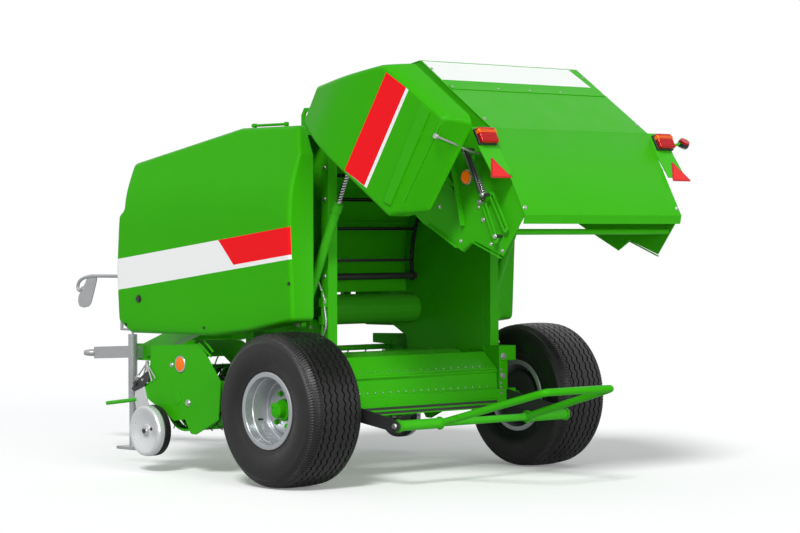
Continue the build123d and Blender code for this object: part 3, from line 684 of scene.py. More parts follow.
def gateFace(x, z):
    # Flat side, then a slanted flange behind the fold
    y = min(coverFace(x, z), 1036 - (890 - z) * 2.5) if z < 890 else coverFace(x, z)
    taper = 1062 + (x + 778) * (5.75 if x > -778 else 3.47)
    gap = y - taper
    return taper + gap / 2 - math.sqrt(gap * gap / 4 + 6) if gap > -60 else y


def within(p, loop):
    crossings = 0
    for a, b in zip(loop, loop[1:] + loop[:1]):
        if (a.y > p.y) != (b.y > p.y) and p.x < a.x + (p.y - a.y) / (b.y - a.y) * (b.x - a.x):
            crossings += 1
    return crossings % 2 == 1


def gridLines(values, spacing, kept):
    # Even steps across the values, with the kept lines in place of those near them
    count = int((max(values) - min(values)) / spacing)
    even = [min(values) + spacing * k for k in range(1, count + 1)]
    return [v for v in even if all(abs(v - c) > spacing * 0.3 for c in kept)] + list(kept)


def pressedPanel(outline, faceY, place, sign, folds=(), creases=()):
    spacing, radius, inner = cover["spacing"], cover["roll"], cover["inner"]
    loop = resampled(roundedLoop(outline, cover["corner"]), spacing)
    bm = bmesh.new()

    def vert(p, drop):
        return bm.verts.new(place(p.x, sign * max(faceY(p.x, p.y) - drop, inner + 1), p.y))

    rings = [[bm.verts.new(place(p.x, sign * inner, p.y)) for p in loop]]
    for share in cover["steps"]:
        back = radius * share
        drop = radius - math.sqrt(max(0.0, radius ** 2 - (radius - back) ** 2))
        rings.append([vert(p, drop) for p in inset(loop, back)])
    skinned(bm, rings)
    last = inset(loop, radius)
    inside = []
    for x in gridLines([p.x for p in last], spacing, folds):
        for z in gridLines([p.y for p in last], spacing, creases):
            p = Vector((x, z))
            clear = spacing * (0.35 if x in folds or z in creases else 0.7)
            if within(p, last) and min((p - q).length for q in last) > clear:
                inside.append(p)
    edges = [(i, (i + 1) % len(last)) for i in range(len(last))]
    points, _, faces, origin, _, _ = geometry.delaunay_2d_cdt(last + inside, edges, [], 1, 0.01)
    lookup = []
    for p, sources in zip(points, origin):
        old = sources[0] if sources else len(last)
        lookup.append(rings[-1][old] if old < len(last) else vert(p, 0))
    for face in faces:
        bm.faces.new([lookup[i] for i in face])
    bmesh.ops.recalc_face_normals(bm, faces=bm.faces)
    broadest = max(bm.faces, key=lambda f: f.calc_area())
    if broadest.normal.y * sign < 0:
        bmesh.ops.reverse_faces(bm, faces=bm.faces)
    wall = {"thickness": cover["wall"] * mm, "offset": -1, "use_even_offset": False}
    made = baked(meshOf(bm, turned=False), ("SOLIDIFY", wall))
    smoothed(made, 40)
    return made


def bead(x0, x1, z, faceY, place, sign, radius=5.0, proud=2.5):
    # Pressed bead: a half sunk bar that follows the face
    count = round(abs(x1 - x0) / 60)
    run = [x0 + (x1 - x0) * k / count for k in range(count + 1)]
    return tube([place(x, sign * (faceY(x, z) + proud - radius), z) for x in run], radius, 12)


frontOutline = [
    (1456, 828), (668, 833), (316, 870), (-88, 938), (-88, 1868), (-18, 2032),
    (497, 2032), (1448, 1847), (1466, 1571), (1513, 1534), (1557, 1200), (1557, 900),
]
rightOutline = frontOutline[:2] + [(240, 890), (240, 1868), (310, 2032)] + frontOutline[6:]
gateOutline = [(-122, 945), (-122, 1868), (-345, 1892), (-824, 1373), (-828, 862), (-790, 808), (-252, 822)]
gateRight = [(-122, 985), (-122, 1868), (-345, 1892), (-430, 1800), (-430, 985)]
for hand, sign in hands:
    locks = [(1334, 1036, 34), (1480, 880, 15), (720, 880, 15)]
    if sign > 0:
        locks.append((-66, 1145, 16))
        front = pressedPanel(frontOutline, coverFace, at, sign)
        panel = pressedPanel(gateOutline, gateFace, raised, sign, cover["folds"], cover["creases"])
        rib = plate([(-770, 1061), (-176, 1006), (-190, 950), (-770, 975)], 1026, 1049, raised, 4.0, 8)
        panel = merged(panel, rib, bead(-796, -258, 890, gateFace, raised, sign))
        smoothed(panel, 40)
    else:
        front = pressedPanel(rightOutline, coverFace, at, sign)
        panel = pressedPanel(gateRight, coverFace, raised, sign)
    newPiece("frontCover_" + hand, front, coverPaint["front" + hand], "cover_" + hand, "front_side_cover_" + hand)
    newPiece("gateCover_" + hand, panel, coverPaint["gate" + hand], "tailgate", "tailgate_side_cover_" + hand)
    spots = [(at(x, sign * (coverFace(x, z) - 0.5), z), outward[sign], size) for x, z, size in locks]
    boltsOn("coverLocks_" + hand, spots, "cover_" + hand, blackPlastic, corners=20, height=0.22)
print("side covers ready")

# Wheels: one pitch of the tyre with its zigzag ribs, repeated round the axle
wheel = {"track": 982.0, "height": 437.0, "pitches": 54, "zigzag": 6.5, "groove": 9.5, "slot": 5.0, "nuts": 6}
sideWall = [
    (200, 150), (198, 162), (204, 166.3), (221, 166.3), (228, 172), (236, 175), (243, 175.5), (250, 179),
    (262, 186), (286, 193.5), (318, 197), (350, 196), (366, 193.5), (374, 194), (382, 190.5), (388, 184),
]


def crown(y):
    return 436.8 - 9 * (y / 150) ** 2


def tyreHalf():
    # Points as radius, half breadth, share of the zigzag, share of the shoulder slot
    half = [(r, y, 0, 0) for r, y in sideWall] + [(398, 177, 0, 0.5), (411, 166, 0, 1), (421, 156, 0, 1)]
    half += [(crown(y), y, 0, slot) for y, slot in ((147, 1), (127, 0.8), (124, 0))]
    for middle in (110, 68, 26):
        for side, deep in ((5.5, 0), (3.2, 1), (-3.2, 1), (-5.5, 0)):
            half.append((crown(middle) - deep * wheel["groove"], middle + side, 1, 0))
    return half


def tyrePitch():
    profile = tyreHalf()
    profile += [(r, -y, z, s) for r, y, z, s in reversed(profile)]
    turns = [(k + u) / 3 for k in range(3) for u in (0.0, 0.5, 0.62, 0.88)] + [1.0]
    bm = bmesh.new()
    rings = []
    for t in turns:
        a = t * 2 * math.pi / wheel["pitches"]
        sway = wheel["zigzag"] * (4 * abs(t - 0.5) - 1)
        low = 1.0 if (t * 3) % 1 > 0.55 else 0.0
        ring = []
        for r, y, zig, slot in profile:
            r -= slot * low * wheel["slot"]
            ring.append(bm.verts.new((r * math.sin(a) * mm, (y + zig * sway) * mm, r * math.cos(a) * mm)))
        rings.append(ring)
    skinned(bm, rings)
    return meshOf(bm, turned=False)


def ringOf(count, radius, lead=0.0):
    # Even places round a circle
    turns = [2 * math.pi * (k + lead) / count for k in range(count)]
    return [(radius * math.cos(a), radius * math.sin(a)) for a in turns]


rimLoop = [
    (190, 172), (192, 174), (214, 174), (218, 171), (218, 167), (213, 165.8), (199, 165.8), (197, 163),
    (197, 60), (186, 30), (186, -30), (197, -60), (197, -163), (199, -165.8), (213, -165.8), (218, -167),
    (218, -171), (214, -174), (192, -174), (190, -172), (190, -64), (179, -30), (179, 8), (172, 14),
    (150, 16), (138, 22), (124, 34), (62.5, 34), (62.5, 44), (126, 44), (142, 32), (154, 26),
    (172, 24), (176, 27), (179, 40), (180, 104), (184, 112), (184, 118), (188, 124), (188, 140),
]
hubLoop = [
    (0, 112), (34, 112), (42, 108), (44, 100), (44, 68), (50, 64), (60, 62), (62, 56), (62, 33.7),
    (111, 33.7), (112, 32), (112, 18), (62, 17), (62, -149), (0, -149),
]
step = 2 * math.pi / wheel["pitches"]
pitch = tyrePitch()
for hand, sign in hands:
    body, y, z = "wheel_" + hand, sign * wheel["track"], wheel["height"]
    tread = repeated(roundTree, pitch, Count=wheel["pitches"], First=0.0, Step=step, Centre=at(0, y, z))
    newPiece("flotationTyre_" + hand, tidied(tread, 32), tyreRubber, body, "tyre_" + hand)
    rim = lathed([(r, sign * u) for r, u in rimLoop], (0, y, z), 96, 32)
    newPiece("dishedRim_" + hand, rim, rimPaint, body, "rim_" + hand)
    hub = lathed([(r, sign * u) for r, u in hubLoop], (0, y, z), 48, 32)
    newPiece("wheelHub_" + hand, hub, greenPaint, body, "hub_" + hand)
    nuts = []
    for places, out, wide in ((ringOf(wheel["nuts"], 94, 0.3), 45, 27), (ringOf(4, 28, 0.5), 112.5, 11)):
        nuts += [(at(dx, y + sign * out, z + dz), outward[sign], wide) for dz, dx in places]
    boltsOn("wheelNuts_" + hand, nuts, body, greenPaint, height=0.6, washer=0.62)
    valve = tube([at(170, y + sign * 60, z - 60), at(166, y + sign * 95, z - 58)], 5, 8)
    newPiece("valveStem_" + hand, valve, blackPlastic, body)
print("wheels ready")

# Folded and welded sheet parts keep their CAD shape, with edges eased by these millimetres
sheets = {
    "chassis_frame": 2.0, "rear_cross_plate": 1.5, "chamber_wall_left": 1.2, "chamber_wall_right": 1.2,
    "rear_posts": 2.5, "front_wall": 2.0, "front_hood": 1.5, "lifting_eyes": 2.0, "cylinder_brackets": 1.5,
    "pickup_hangers": 1.5, "drawbar_frame": 4.0, "gearbox": 6.0, "gate_catches": 1.2,
    "pickup_side_plate_left": 1.5, "pickup_side_plate_right": 1.5, "tailgate_wall_left": 1.2,
    "tailgate_wall_right": 1.2, "tailgate_arms": 1.5, "axle_beam": 4.0, "tailgate_cross_tube": 0.8,
}
for node, width in sheets.items():
    softened(node, greenPaint, width)
softened("tailgate_skin", skinPaint, 1.5)
for node, width in (("drawbar_tongue", 3.0), ("jack_sleeve", 1.0), ("jack_leg", 1.0)):
    softened(node, greySteel, width)
print("sheet parts ready")

# Tailgate skin: fold bolts, lamps, markers, triangles
across, back, low = Vector((0, 1, 0)), raisedWay(-1, 0, 0), raisedWay(-0.8952, 0, -0.4457)
spots = [(raised(-722.5, y, 1313), back, 15) for y in (-600, -247, 0, 247, 600)]
spots += [(raised(-722.5, y, z), back, 15) for y in (-605, 605) for z in (999, 1500)]
spots += [(raised(-505, y, 477), low, 17) for y in (-605, 605)]
boltsOn("skinBolts", spots, "tailgate")
corners = ((-612, 1296), (612, 1296), (612, 1330), (-612, 1330))
newPiece("skinStrip", prism([raised(-723.0, y, z) for y, z in corners], back * 0.0025, 0.8), greenPaint, "tailgate")

lamp = {"x": -712.6, "z": 845.0, "y": 706.0, "half": (22, 66, 48), "ribs": 9, "edge": 0.014}
down = raisedWay(0.4457, 0, -0.8952)
deep, wide, tall = (v * mm for v in lamp["half"])
bodies, lenses, stripes = [], [], []
for sign in (-1, 1):
    middle = raised(lamp["x"], sign * lamp["y"], lamp["z"])
    bodies.append(cuboid(middle - low * deep * 0.62, low * deep * 0.36, across * wide, down * tall, 4))
    lens = across * (wide - 0.003), down * (tall - 0.003)
    lenses.append(cuboid(middle + low * deep * 0.3, low * deep * 0.62, *lens, 9))
    rib = cuboid(Vector(), low * 0.0016, across * (wide - 0.012), down * 0.0018, 0)
    start = middle + low * (deep * 0.92 + 0.0002) - down * (tall - lamp["edge"])
    gap = down * (2 * (tall - lamp["edge"]) / (lamp["ribs"] - 1))
    lenses.append(repeated(rowTree, rib, Count=lamp["ribs"], Start=start, Step=gap))
    centre = middle + low * deep * 0.36 - down * (tall * 0.45)
    stripes.append(cuboid(centre, low * deep * 0.6, across * (wide - 0.001), down * 0.011, 3))
newPiece("tailLampBodies", bodies, blackPlastic, "tailgate")
newPiece("tailLampLenses", lenses, redLens, "tailgate", "tail_lamps")
newPiece("tailLampStripes", stripes, amberLens, "tailgate")

marker = {"x": -655.0, "z": 922.0, "y": 983.0, "r": 33.5}
layers = (
    ("markerLampCases", -0.012, 0.010, marker["r"], blackPlastic),
    ("markerLampFronts", -0.022, -0.010, marker["r"] - 4, clearLens),
    ("markerLampBacks", 0.008, 0.021, marker["r"] - 4, redLens),
)
for name, near, far, radius, material in layers:
    middles = [raised(marker["x"], sign * marker["y"], marker["z"]) for sign in (-1, 1)]
    newPiece(name, [tube([m + back * near, m + back * far], radius, 24) for m in middles], material, "tailgate")

triangle = {"x": -620.8, "z": 679.4, "y": 718.0, "side": 160.0}
run, face = raisedWay(0.3364, 0, -0.9417), raisedWay(-0.9417, 0, -0.3364)
side, height = triangle["side"], triangle["side"] * 0.866
flat = roundedLoop([Vector(c) for c in ((0, -height / 2), (side / 2, height / 2), (-side / 2, height / 2))], 9, 4)
small = [p * 0.80 + Vector((0, height * 0.033)) for p in flat]
borders, inlays = [], []
for sign in (-1, 1):
    middle = raised(triangle["x"], sign * triangle["y"], triangle["z"])
    borders.append(prism([middle + across * p.x * mm + run * p.y * mm for p in flat], face * 0.0034, 0.8))
    middle = middle + face * 0.003
    inlays.append(prism([middle + across * p.x * mm + run * p.y * mm for p in small], face * 0.0014, 0.4))
newPiece("triangleBorders", borders, redLens, "tailgate", "warning_triangles")
newPiece("triangleReflectors", inlays, reflectRed, "tailgate")


# Tailgate walls: stiffening edges, springs on their rods, slotted guides, round reflectors
def standing(run, y0, y1, thick, place, sign):
    # Sheet edge standing on a side wall along a line of (x, z)
    flat = [Vector(p) for p in run]
    ways = [b - a for a, b in zip(flat[:-1] + flat[-2:-1], flat[1:] + flat[-1:])]
    one = [p + Vector((-way.y, way.x)).normalized() * thick / 2 for p, way in zip(flat, ways)]
    other = [p * 2 - q for p, q in zip(flat, one)]
    return prism([place(p.x, sign * y0, p.y) for p in one + other[::-1]], outward[sign] * (y1 - y0) * mm, 0.8)


def slotted(a, b, width, slot, y0, y1, place, sign):
    # Flat guide with a long slot between two (x, z) points, as two rails and two ends
    a, b = Vector(a), Vector(b)
    along = (b - a).normalized()
    side = Vector((-along.y, along.x))
    half, hole = width / 2, slot / 2
    shapes = []
    for s in (-1, 1):
        rail = [a + side * s * hole, a + side * s * half, b + side * s * half, b + side * s * hole]
        shapes.append((rail, 0.8))
    for end, way in ((a, -along), (b, along)):
        tip = way * half * 0.6
        cap = [end + side * half, end + side * half * 0.8 + tip, end + way * half, end - side * half * 0.8 + tip]
        shapes.append((cap + [end - side * half, end - side * hole, end + side * hole], 0.0))
    rise = outward[sign] * (y1 - y0) * mm
    return [prism([place(p.x, sign * y0, p.y) for p in shape], rise, width) for shape, width in shapes]


wallY = 619.0
gateEdges = [
    ([(-448, 1088), (-176, 782)], 34, 5), ([(-20, 1020), (-50, 756)], 22, 5),
    ([(-60, 716), (-140, 680), (-196, 452)], 14, 5), ([(-300, 1030), (-290, 905)], 26, 6),
]
gateRods = [
    ((-552, 684, 952), (-405, 684, 690), 11), ((-530, 655, 985), (-412, 655, 718), 8, 12),
    ((-548, wallY, 962), (-548, 700, 962), 10), ((-432, wallY, 702), (-432, 700, 702), 10),
    ((-290, wallY, 520), (-290, wallY + 50, 520), 9),
]
gateBolts = [
    (-343, 764, 20), (-352, 742, 14), (-318, 752, 14), (-282, 684, 18), (-210, 560, 14), (-230, 470, 14),
    (-612, 1096, 20), (-590, 1070, 16), (-640, 1180, 14), (-150, 1000, 14), (-90, 760, 14),
]
ringTurned = [(0, 0), (42, 0), (42, 6), (40, 8), (36, 8), (35, 5), (0, 5)]
faceTurned = [(0, 0), (35, 0), (35, 3), (30, 6), (16, 8), (0, 8.6)]
hookShape = [(-640, 1120), (-590, 1128), (-566, 1060), (-600, 1036), (-632, 1060)]
spring = {"y": 655, "top": (-526, 976), "foot": (-416, 727), "Turns": 21.0, "Radius": 0.0175, "Wire": 0.0032}
edges, spots, rods, guides, rings, faces, coils, hooks = [], [], [], [], [], [], [], []
for sign in (-1, 1):
    edges += [standing(run, wallY, wallY + tall, thick, raised, sign) for run, tall, thick in gateEdges]
    foot = [(-330, 1040), (-262, 1030), (-268, 985), (-318, 960)]
    edges.append(plate(foot, sign * (wallY + 14), sign * (wallY + 20), raised, 1.0))
    rods += [bar(raised, sign, *each) for each in gateRods]
    start, end = (raised(x, sign * spring["y"], z) for x, z in (spring["top"], spring["foot"]))
    measured = {key: spring[key] for key in ("Turns", "Radius", "Wire")}
    coils.append(repeated(coilTree, None, Length=(end - start).length, Start=start, Way=end - start, **measured))
    guides += slotted((-440, 688), (-352, 500), 40, 14, wallY + 22, wallY + 28, raised, sign)
    guides += slotted((-372, 690), (-268, 512), 34, 12, wallY + 36, wallY + 42, raised, sign)
    rings.append(lathedDisc(raised(-398, sign * (wallY + 1), 920), sign, ringTurned))
    faces.append(lathedDisc(raised(-398, sign * (wallY + 5.5), 920), sign, faceTurned))
    spots += spotsOn(raised, sign, wallY + 1, gateBolts)
    spots += spotsOn(raised, sign, 700, [(-548, 962, 20), (-432, 702, 20)])
    spots += spotsOn(raised, sign, wallY + 50, [(-290, 520, 18)])
    hooks.append(plate(hookShape, sign * (wallY + 2), sign * (wallY + 34), raised, 4, 8))
newPiece("tailgateStiffeners", edges, greenPaint, "tailgate")
newPiece("springRods", rods, darkSteel, "tailgate", "bale_springs")
newPiece("springCoils", coils, zincSteel, "tailgate", slot="spring_steel")
newPiece("slottedGuides", guides, greenPaint, "tailgate")
newPiece("tailgateReflectorRings", rings, zincSteel, "tailgate")
newPiece("tailgateReflectors", faces, amberLens, "tailgate")
boltsOn("tailgateWallBolts", spots, "tailgate")
newPiece("tailgateHooks", hooks, darkSteel, "tailgate")
print("tailgate details ready")

# Lift cylinders: glands, ports, pins, and stripes painted on the rods above the glands
lift = {"foot": (199.0, 908.0), "tip": (-268.0, 1882.0), "y": 735.0}
glands = ((708, 757, 31, 28), (757, 764, 22, 24), (60, 78, 30.5, 28))
foot, tip = Vector(lift["foot"]), Vector(lift["tip"])
along = (tip - foot).normalized()


def onCylinder(distance, sign=1):
    p = foot + along * distance
    return at(p.x, sign * lift["y"], p.y)


for hand, sign in hands:
    parts = [tube([onCylinder(a, sign), onCylinder(b, sign)], radius, sides) for a, b, radius, sides in glands]
    start = onCylinder(700, sign)
    parts.append(tube([start, start + Vector((0.038, 0, 0.010))], 9, 12))
    newPiece("cylinderGland_" + hand, parts, greenPaint, "barrel_" + hand)
    boltsOn("cylinderPins_" + hand, spotsOn(at, sign, lift["y"] + 24, [(*lift["foot"], 26)]), "frame")
stripe = {"start": 0.776, "end": 0.94, "pitch": 0.0165, "slant": 0.5, "ink": (0.012, 0.012, 0.012)}
axis = (onCylinder(100) - onCylinder(0)).normalized()
rodStriped = metalMaterial("rodStriped", (0.66, 0.66, 0.68), 0.2)
tree = rodStriped.node_tree
shader = tree.nodes["Principled BSDF"]
place = put(tree, "ShaderNodeTexCoord").outputs["Object"]
reach = maths(tree, "SUBTRACT", dotted(tree, place, axis), at(foot.x, 0, foot.y).dot(axis))
skew = dotted(tree, place, axis + Vector((0, stripe["slant"], 0)))
wave = maths(tree, "SINE", maths(tree, "MULTIPLY", skew, 2 * math.pi / stripe["pitch"]))
mask = maths(tree, "GREATER_THAN", wave, 0.0)
mask = maths(tree, "MULTIPLY", mask, maths(tree, "GREATER_THAN", reach, stripe["start"]))
mask = maths(tree, "MULTIPLY", mask, maths(tree, "LESS_THAN", reach, stripe["end"]))
tint = shader.inputs["Base Color"].links[0].from_socket
tint = blended(tree, mask, tint, shade(stripe["ink"]))
wire(tree, shader, {"Base Color": tint, "Metallic": maths(tree, "SUBTRACT", 1.0, mask)})
print("cylinders ready")

# Chamber: chains with their slats, and the shafts at their ends
chamber = {"x": 50.0, "z": 1250.0, "r": 640.0, "chain": 586.0, "pitch": 38.1, "rib": 739.0}


def aroundChamber(a, r, y):
    # Unit parts sit over the axis at angle a from the top, towards the front
    return Vector((r * math.sin(a) * mm, y * mm, r * math.cos(a) * mm))


def crossBar(centre, a, y0, y1, radius, sides):
    return tube([centre + aroundChamber(a, chamber["r"], y) for y in (y0, y1)], radius, sides)


def chainLink():
    parts = []
    half = chamber["pitch"] / chamber["r"] / 2
    outline = ((-1, -8), (0, -6), (1, -8), (1, 8), (0, 6), (-1, 8))
    for sign in (-1, 1):
        y = sign * chamber["chain"]
        parts += [crossBar(Vector(), a, y - wide, y + wide, 11, 10) for a, wide in ((0, 11), (half * 2, 8))]
        for side, a in ((9.5, 0), (-9.5, 0), (6.5, half * 2), (-6.5, half * 2)):
            reached = [(a + s * half * 1.25, chamber["r"] + k) for s, k in outline]
            loop = [aroundChamber(*each, y + side - 1.3) for each in reached]
            parts.append(prism(loop, Vector((0, 0.0026, 0)), 0))
    return merged(*parts)


def slatBar():
    # Channel-shaped slat between the chains
    reach = chamber["chain"] - 8
    outline = ((-0.014, 652), (0.014, 652), (0.014, 634), (0.009, 634))
    outline += ((0.009, 647), (-0.009, 647), (-0.009, 634), (-0.014, 634))
    loop = [aroundChamber(a, r, -reach) for a, r in outline]
    return prism(loop, Vector((0, 2 * reach * mm, 0)), 0.8)


link, slat = chainLink(), slatBar()
runs = {
    "front": ("frame", at, 80, -8, 5, 0.0, "front_conveyor"),
    "tailgate": ("tailgate", raised, 100, 225, 7, gate["turn"], "tailgate_conveyor"),
}
for name, (body, place, start, end, slats, turned, node) in runs.items():
    centre = place(chamber["x"], 0, chamber["z"])
    first, last = (math.radians(90 - d) + turned for d in (start, end))
    pairs = round(abs(last - first) * chamber["r"] / chamber["pitch"] / 2)
    step, gap = (last - first) / pairs, (last - first) / slats
    chain = repeated(roundTree, link, Count=pairs, First=first + min(step, 0), Step=step, Centre=centre)
    parts = [repeated(roundTree, slat, Count=slats, First=first + gap / 2, Step=gap, Centre=centre)]
    for a in (first, last):
        parts.append(crossBar(centre, a, -612, 612, 20, 20))
        for y in (-chamber["chain"], chamber["chain"]):
            parts.append(crossBar(centre, a, y - 5, y + 5, 30, 16))
    newPiece(name + "ConveyorChains", chain, darkSteel, body)
    newPiece(name + "ConveyorSlats", parts, darkSteel, body, node)
print("conveyors ready")

# Pickup reel with sprung tines
pickup = {"x": 1075.0, "z": 445.0, "pitch": 76.0, "bands": 24, "beam": 786.0, "bandRadius": 196.0}
tine = {"coil": 17.0, "turns": 2.25, "bar": 150.0, "tip": 266.0, "wire": 3.6}
rx, rz, beamX = pickup["x"], pickup["z"], pickup["beam"]


def tineUnit():
    # One sprung tine on the bar over the axis: two turns round the bar, then the leg
    line = []
    for k in range(19):
        a = 2 * math.pi * tine["turns"] * k / 18 + math.pi / 2
        line.append(Vector((tine["coil"] * math.cos(a), -9 + k * 0.75, tine["bar"] + tine["coil"] * math.sin(a))))
    x = line[-1].x
    legs = ((x, tine["bar"] + 30), (x + 6, tine["bar"] + 75), (x + 22, tine["tip"]))
    line += [Vector((lean, 4.5, z)) for lean, z in legs]
    return tube([p * mm for p in line], tine["wire"], 6)


def fourRound(unit):
    quarter = math.pi / 2
    return repeated(roundTree, unit, Count=4, First=quarter / 2, Step=quarter, Centre=at(rx, 0, rz))


def inRow(unit, count, gap, start):
    return repeated(rowTree, unit, Count=count, Start=start, Step=(0.0, gap * mm, 0.0))


first = Vector((0, (1 - pickup["bands"] / 2) * pickup["pitch"] * mm, 0))
row = inRow(tineUnit(), pickup["bands"] - 1, pickup["pitch"], first)
newPiece("reelTines", fourRound(row), springSteel, "reel")
parts = [tube([Vector((0, -0.932, 0.150)), Vector((0, 0.932, 0.150))], 13, 14)]
for y in (-0.925, -0.31, 0.31, 0.925):
    half = Vector((0.018, 0, 0)), Vector((0, 0.004, 0)), Vector((0, 0, 0.058))
    parts.append(cuboid(Vector((0, y, 0.105)), *half, 1.5))
parts = [fourRound(merged(*parts))]
for y, radius, sides in ((937, 55, 28), (953, 24.5, 20)):
    parts.append(tube([at(rx, -y, rz), at(rx, y, rz)], radius, sides))
newPiece("reelBars", parts, darkSteel, "reel", "pickup_reel")

# Stripper bands between the tines, on the pickup's back beam
section = [(-25, -15), (-25, 0), (25, 0), (25, -15), (22.5, -15), (22.5, -3), (-22.5, -3), (-22.5, -15)]
bm = bmesh.new()
rings = []
for k in range(31):
    a = math.radians(99 - 9 * k)
    reached = [(y, pickup["bandRadius"] + d) for y, d in section]
    rings.append([bm.verts.new((r * math.cos(a) * mm, y * mm, r * math.sin(a) * mm)) for y, r in reached])
skinned(bm, rings)
bm.faces.new(rings[0])
bm.faces.new(rings[-1][::-1])
band = meshOf(bm)
strap = cuboid(Vector((-0.236, 0, -0.048)), Vector((0.057, 0, 0)), Vector((0, 0.022, 0)), Vector((0, 0, 0.004)), 0.8)
start = at(rx, -(pickup["bands"] - 1) / 2 * pickup["pitch"], rz)
bands = inRow(merged(band, strap), pickup["bands"], pickup["pitch"], start)
newPiece("stripperBands", bands, greenPaint, "pickup", "stripper_bands")
beamLine = [(x + beamX, z) for x, z in ((-8, 560), (-8, 412), (12, 385), (16, 391), (0, 416), (0, 560))]
armLine = [
    (675, 665), (675, 760), (760, 795), (1200, 785), (1200, 725), (rx - 125, 715), (rx - 215, 660),
    (rx - 262, 590), (beamX + 4, 530), (beamX, 425), (beamX - 20, 425),
]
parts = [plate(beamLine, -945, 945)] + [plate(armLine, sign * 715, sign * 727, at, 2.0, 10) for sign in (-1, 1)]
newPiece("pickupBeam", parts, greenPaint, "pickup")

# Crop guard over the reel
guard = {"x": 1300.0, "z": 690.0, "rods": 13, "pitch": 152.0, "half": 944.5}
rod = tube([p * mm for p in curved([(-6, 0, 6), (30, 0, -40), (70, 0, -120), (88, 0, -196)], 5)], 5, 8)
start = at(guard["x"], -(guard["rods"] - 1) / 2 * guard["pitch"], guard["z"])
newPiece("cropGuardRods", inRow(rod, guard["rods"], guard["pitch"], start), greySteel, "pickup")
ends = [at(guard["x"], y, guard["z"]) for y in (-guard["half"], guard["half"])]
newPiece("cropGuardTube", tube(ends, 18, 24), greenPaint, "pickup", "crop_guard")

# Gauge wheels with their tyres and caps
gauge = {"x": 1262.0, "z": 250.0, "y": 1019.0, "cap": 1046.0}
dish = [
    (0, 33), (15, 33), (15, 27), (34, 27), (41, 22), (60, 23), (92, 32), (118, 42),
    (132, 45.5), (142, 44), (149, 36), (152, 24), (152.5, 10), (152, 2), (140, 0), (0, 0),
]
rubber = [
    (60, -2), (138, -1), (150, -1), (152.5, -6), (152, -12), (147, -15), (146, -18), (152, -21),
    (152.5, -29), (147, -32), (146, -35), (151.5, -38), (150, -46), (144, -49.5), (60, -49.5),
]
capTurned = [(0, 0), (32, 0), (32, 5), (27, 9), (20, 10), (18, 15), (0, 17)]
for hand, sign in hands:
    body, centre = "gauge_" + hand, (gauge["x"], sign * gauge["y"], gauge["z"])
    turned = lathed([(r, sign * y) for r, y in dish], centre, 64, 30)
    newPiece("gaugeDish_" + hand, turned, gaugePaint, body, "gauge_wheel_" + hand)
    newPiece("gaugeTyre_" + hand, lathed([(r, sign * y) for r, y in rubber], centre, 64, 30), tyreRubber, body)
    spots = spotsOn(at, sign, gauge["y"] + 34, [(gauge["x"], gauge["z"], 30)])
    spots += spotsOn(at, sign, gauge["y"] + 22.5, [(gauge["x"] - 46, gauge["z"] + 12, 15)])
    boltsOn("gaugeBolts_" + hand, spots, body, darkSteel)
    cap = lathedDisc(at(gauge["x"], sign * gauge["cap"], gauge["z"]), sign, capTurned)
    newPiece("gaugeCap_" + hand, cap, zincSteel, body)

# Pickup side plates: reflectors, stays, straps and brackets of the gauge wheels, side tines, handles
plateY = 953.5
reflector = {"x": 1041.0, "z": 653.0}
ringTurned = [(0, 0), (50, 0), (50, 6), (47, 9), (42, 9), (41, 5), (0, 5)]
faceTurned = [(0, 0), (41, 0), (41, 3), (36, 6), (18, 8.5), (0, 9)]
strapShape = [(1237, 225), (1287, 225), (1475, 372), (1490, 430), (1478, 502), (1400, 520), (1356, 395)]
bracketShape = [(1488, 470), (1402, 500), (1330, 556), (1360, 598), (1460, 540), (1518, 485)]
tineTips = [(1482, 540), (1421, 520), (1361, 524), (1316, 538), (1278, 556)]
rings, faces, spots, stays, straps, brackets, fan, handles = [], [], [], [], [], [], [], []
for sign in (-1, 1):
    rings.append(lathedDisc(at(reflector["x"], sign * plateY, reflector["z"]), sign, ringTurned))
    faces.append(lathedDisc(at(reflector["x"], sign * (plateY + 5), reflector["z"]), sign, faceTurned))
    spots += spotsOn(at, sign, plateY, [(1129, 644, 20), (970, 426, 30)])
    spots += spotsOn(at, sign, 964, [(1455, 560, 22), (1400, 545, 18)])
    for line in ([(859, 783), (745, 705)], [(812, 800), (727, 736)]):
        stays.append(standing(line, 953, 962, 9, at, sign))
    straps.append(plate(strapShape, sign * 953.3, sign * 962.7, at, 1.2, 8))
    straps.append(bar(at, sign, (gauge["x"], 958, gauge["z"]), (gauge["x"], 1050, gauge["z"]), 12, 16))
    brackets.append(plate(bracketShape, sign * 953.3, sign * 966, at, 1.2, 6))
    brackets.append(bar(at, sign, (1470, 960, 520), (1470, 978, 520), 14, 16))
    fan += [bar(at, sign, (1366, 961, 648), (x, 961, z), 5, 8) for x, z in tineTips]
    fan.append(bar(at, sign, (1366, 952, 648), (1366, 964, 648), 13, 16))
    handles.append(bar(at, sign, (1470, 958, 423), (1776, 958, 386), 12, 16))
capTurned = [(0, 0), (36, 0), (36, 2), (33, 4), (0, 4)]
stays += [lathedDisc(at(rx, sign * plateY, rz), sign, capTurned) for sign in (-1, 1)]
newPiece("pickupReflectorRings", rings, zincSteel, "pickup")
newPiece("pickupReflectors", faces, amberLens, "pickup")
newPiece("pickupStays", stays, greenPaint, "pickup")
newPiece("gaugeStraps", straps, gaugePaint, "pickup", "gauge_arms")
newPiece("gaugeBrackets", brackets, darkSteel, "pickup")
newPiece("sideTines", fan, zincSteel, "pickup")
newPiece("guardHandles", handles, greenPaint, "pickup")
boltsOn("pickupBolts", spots, "pickup")
print("pickup ready")

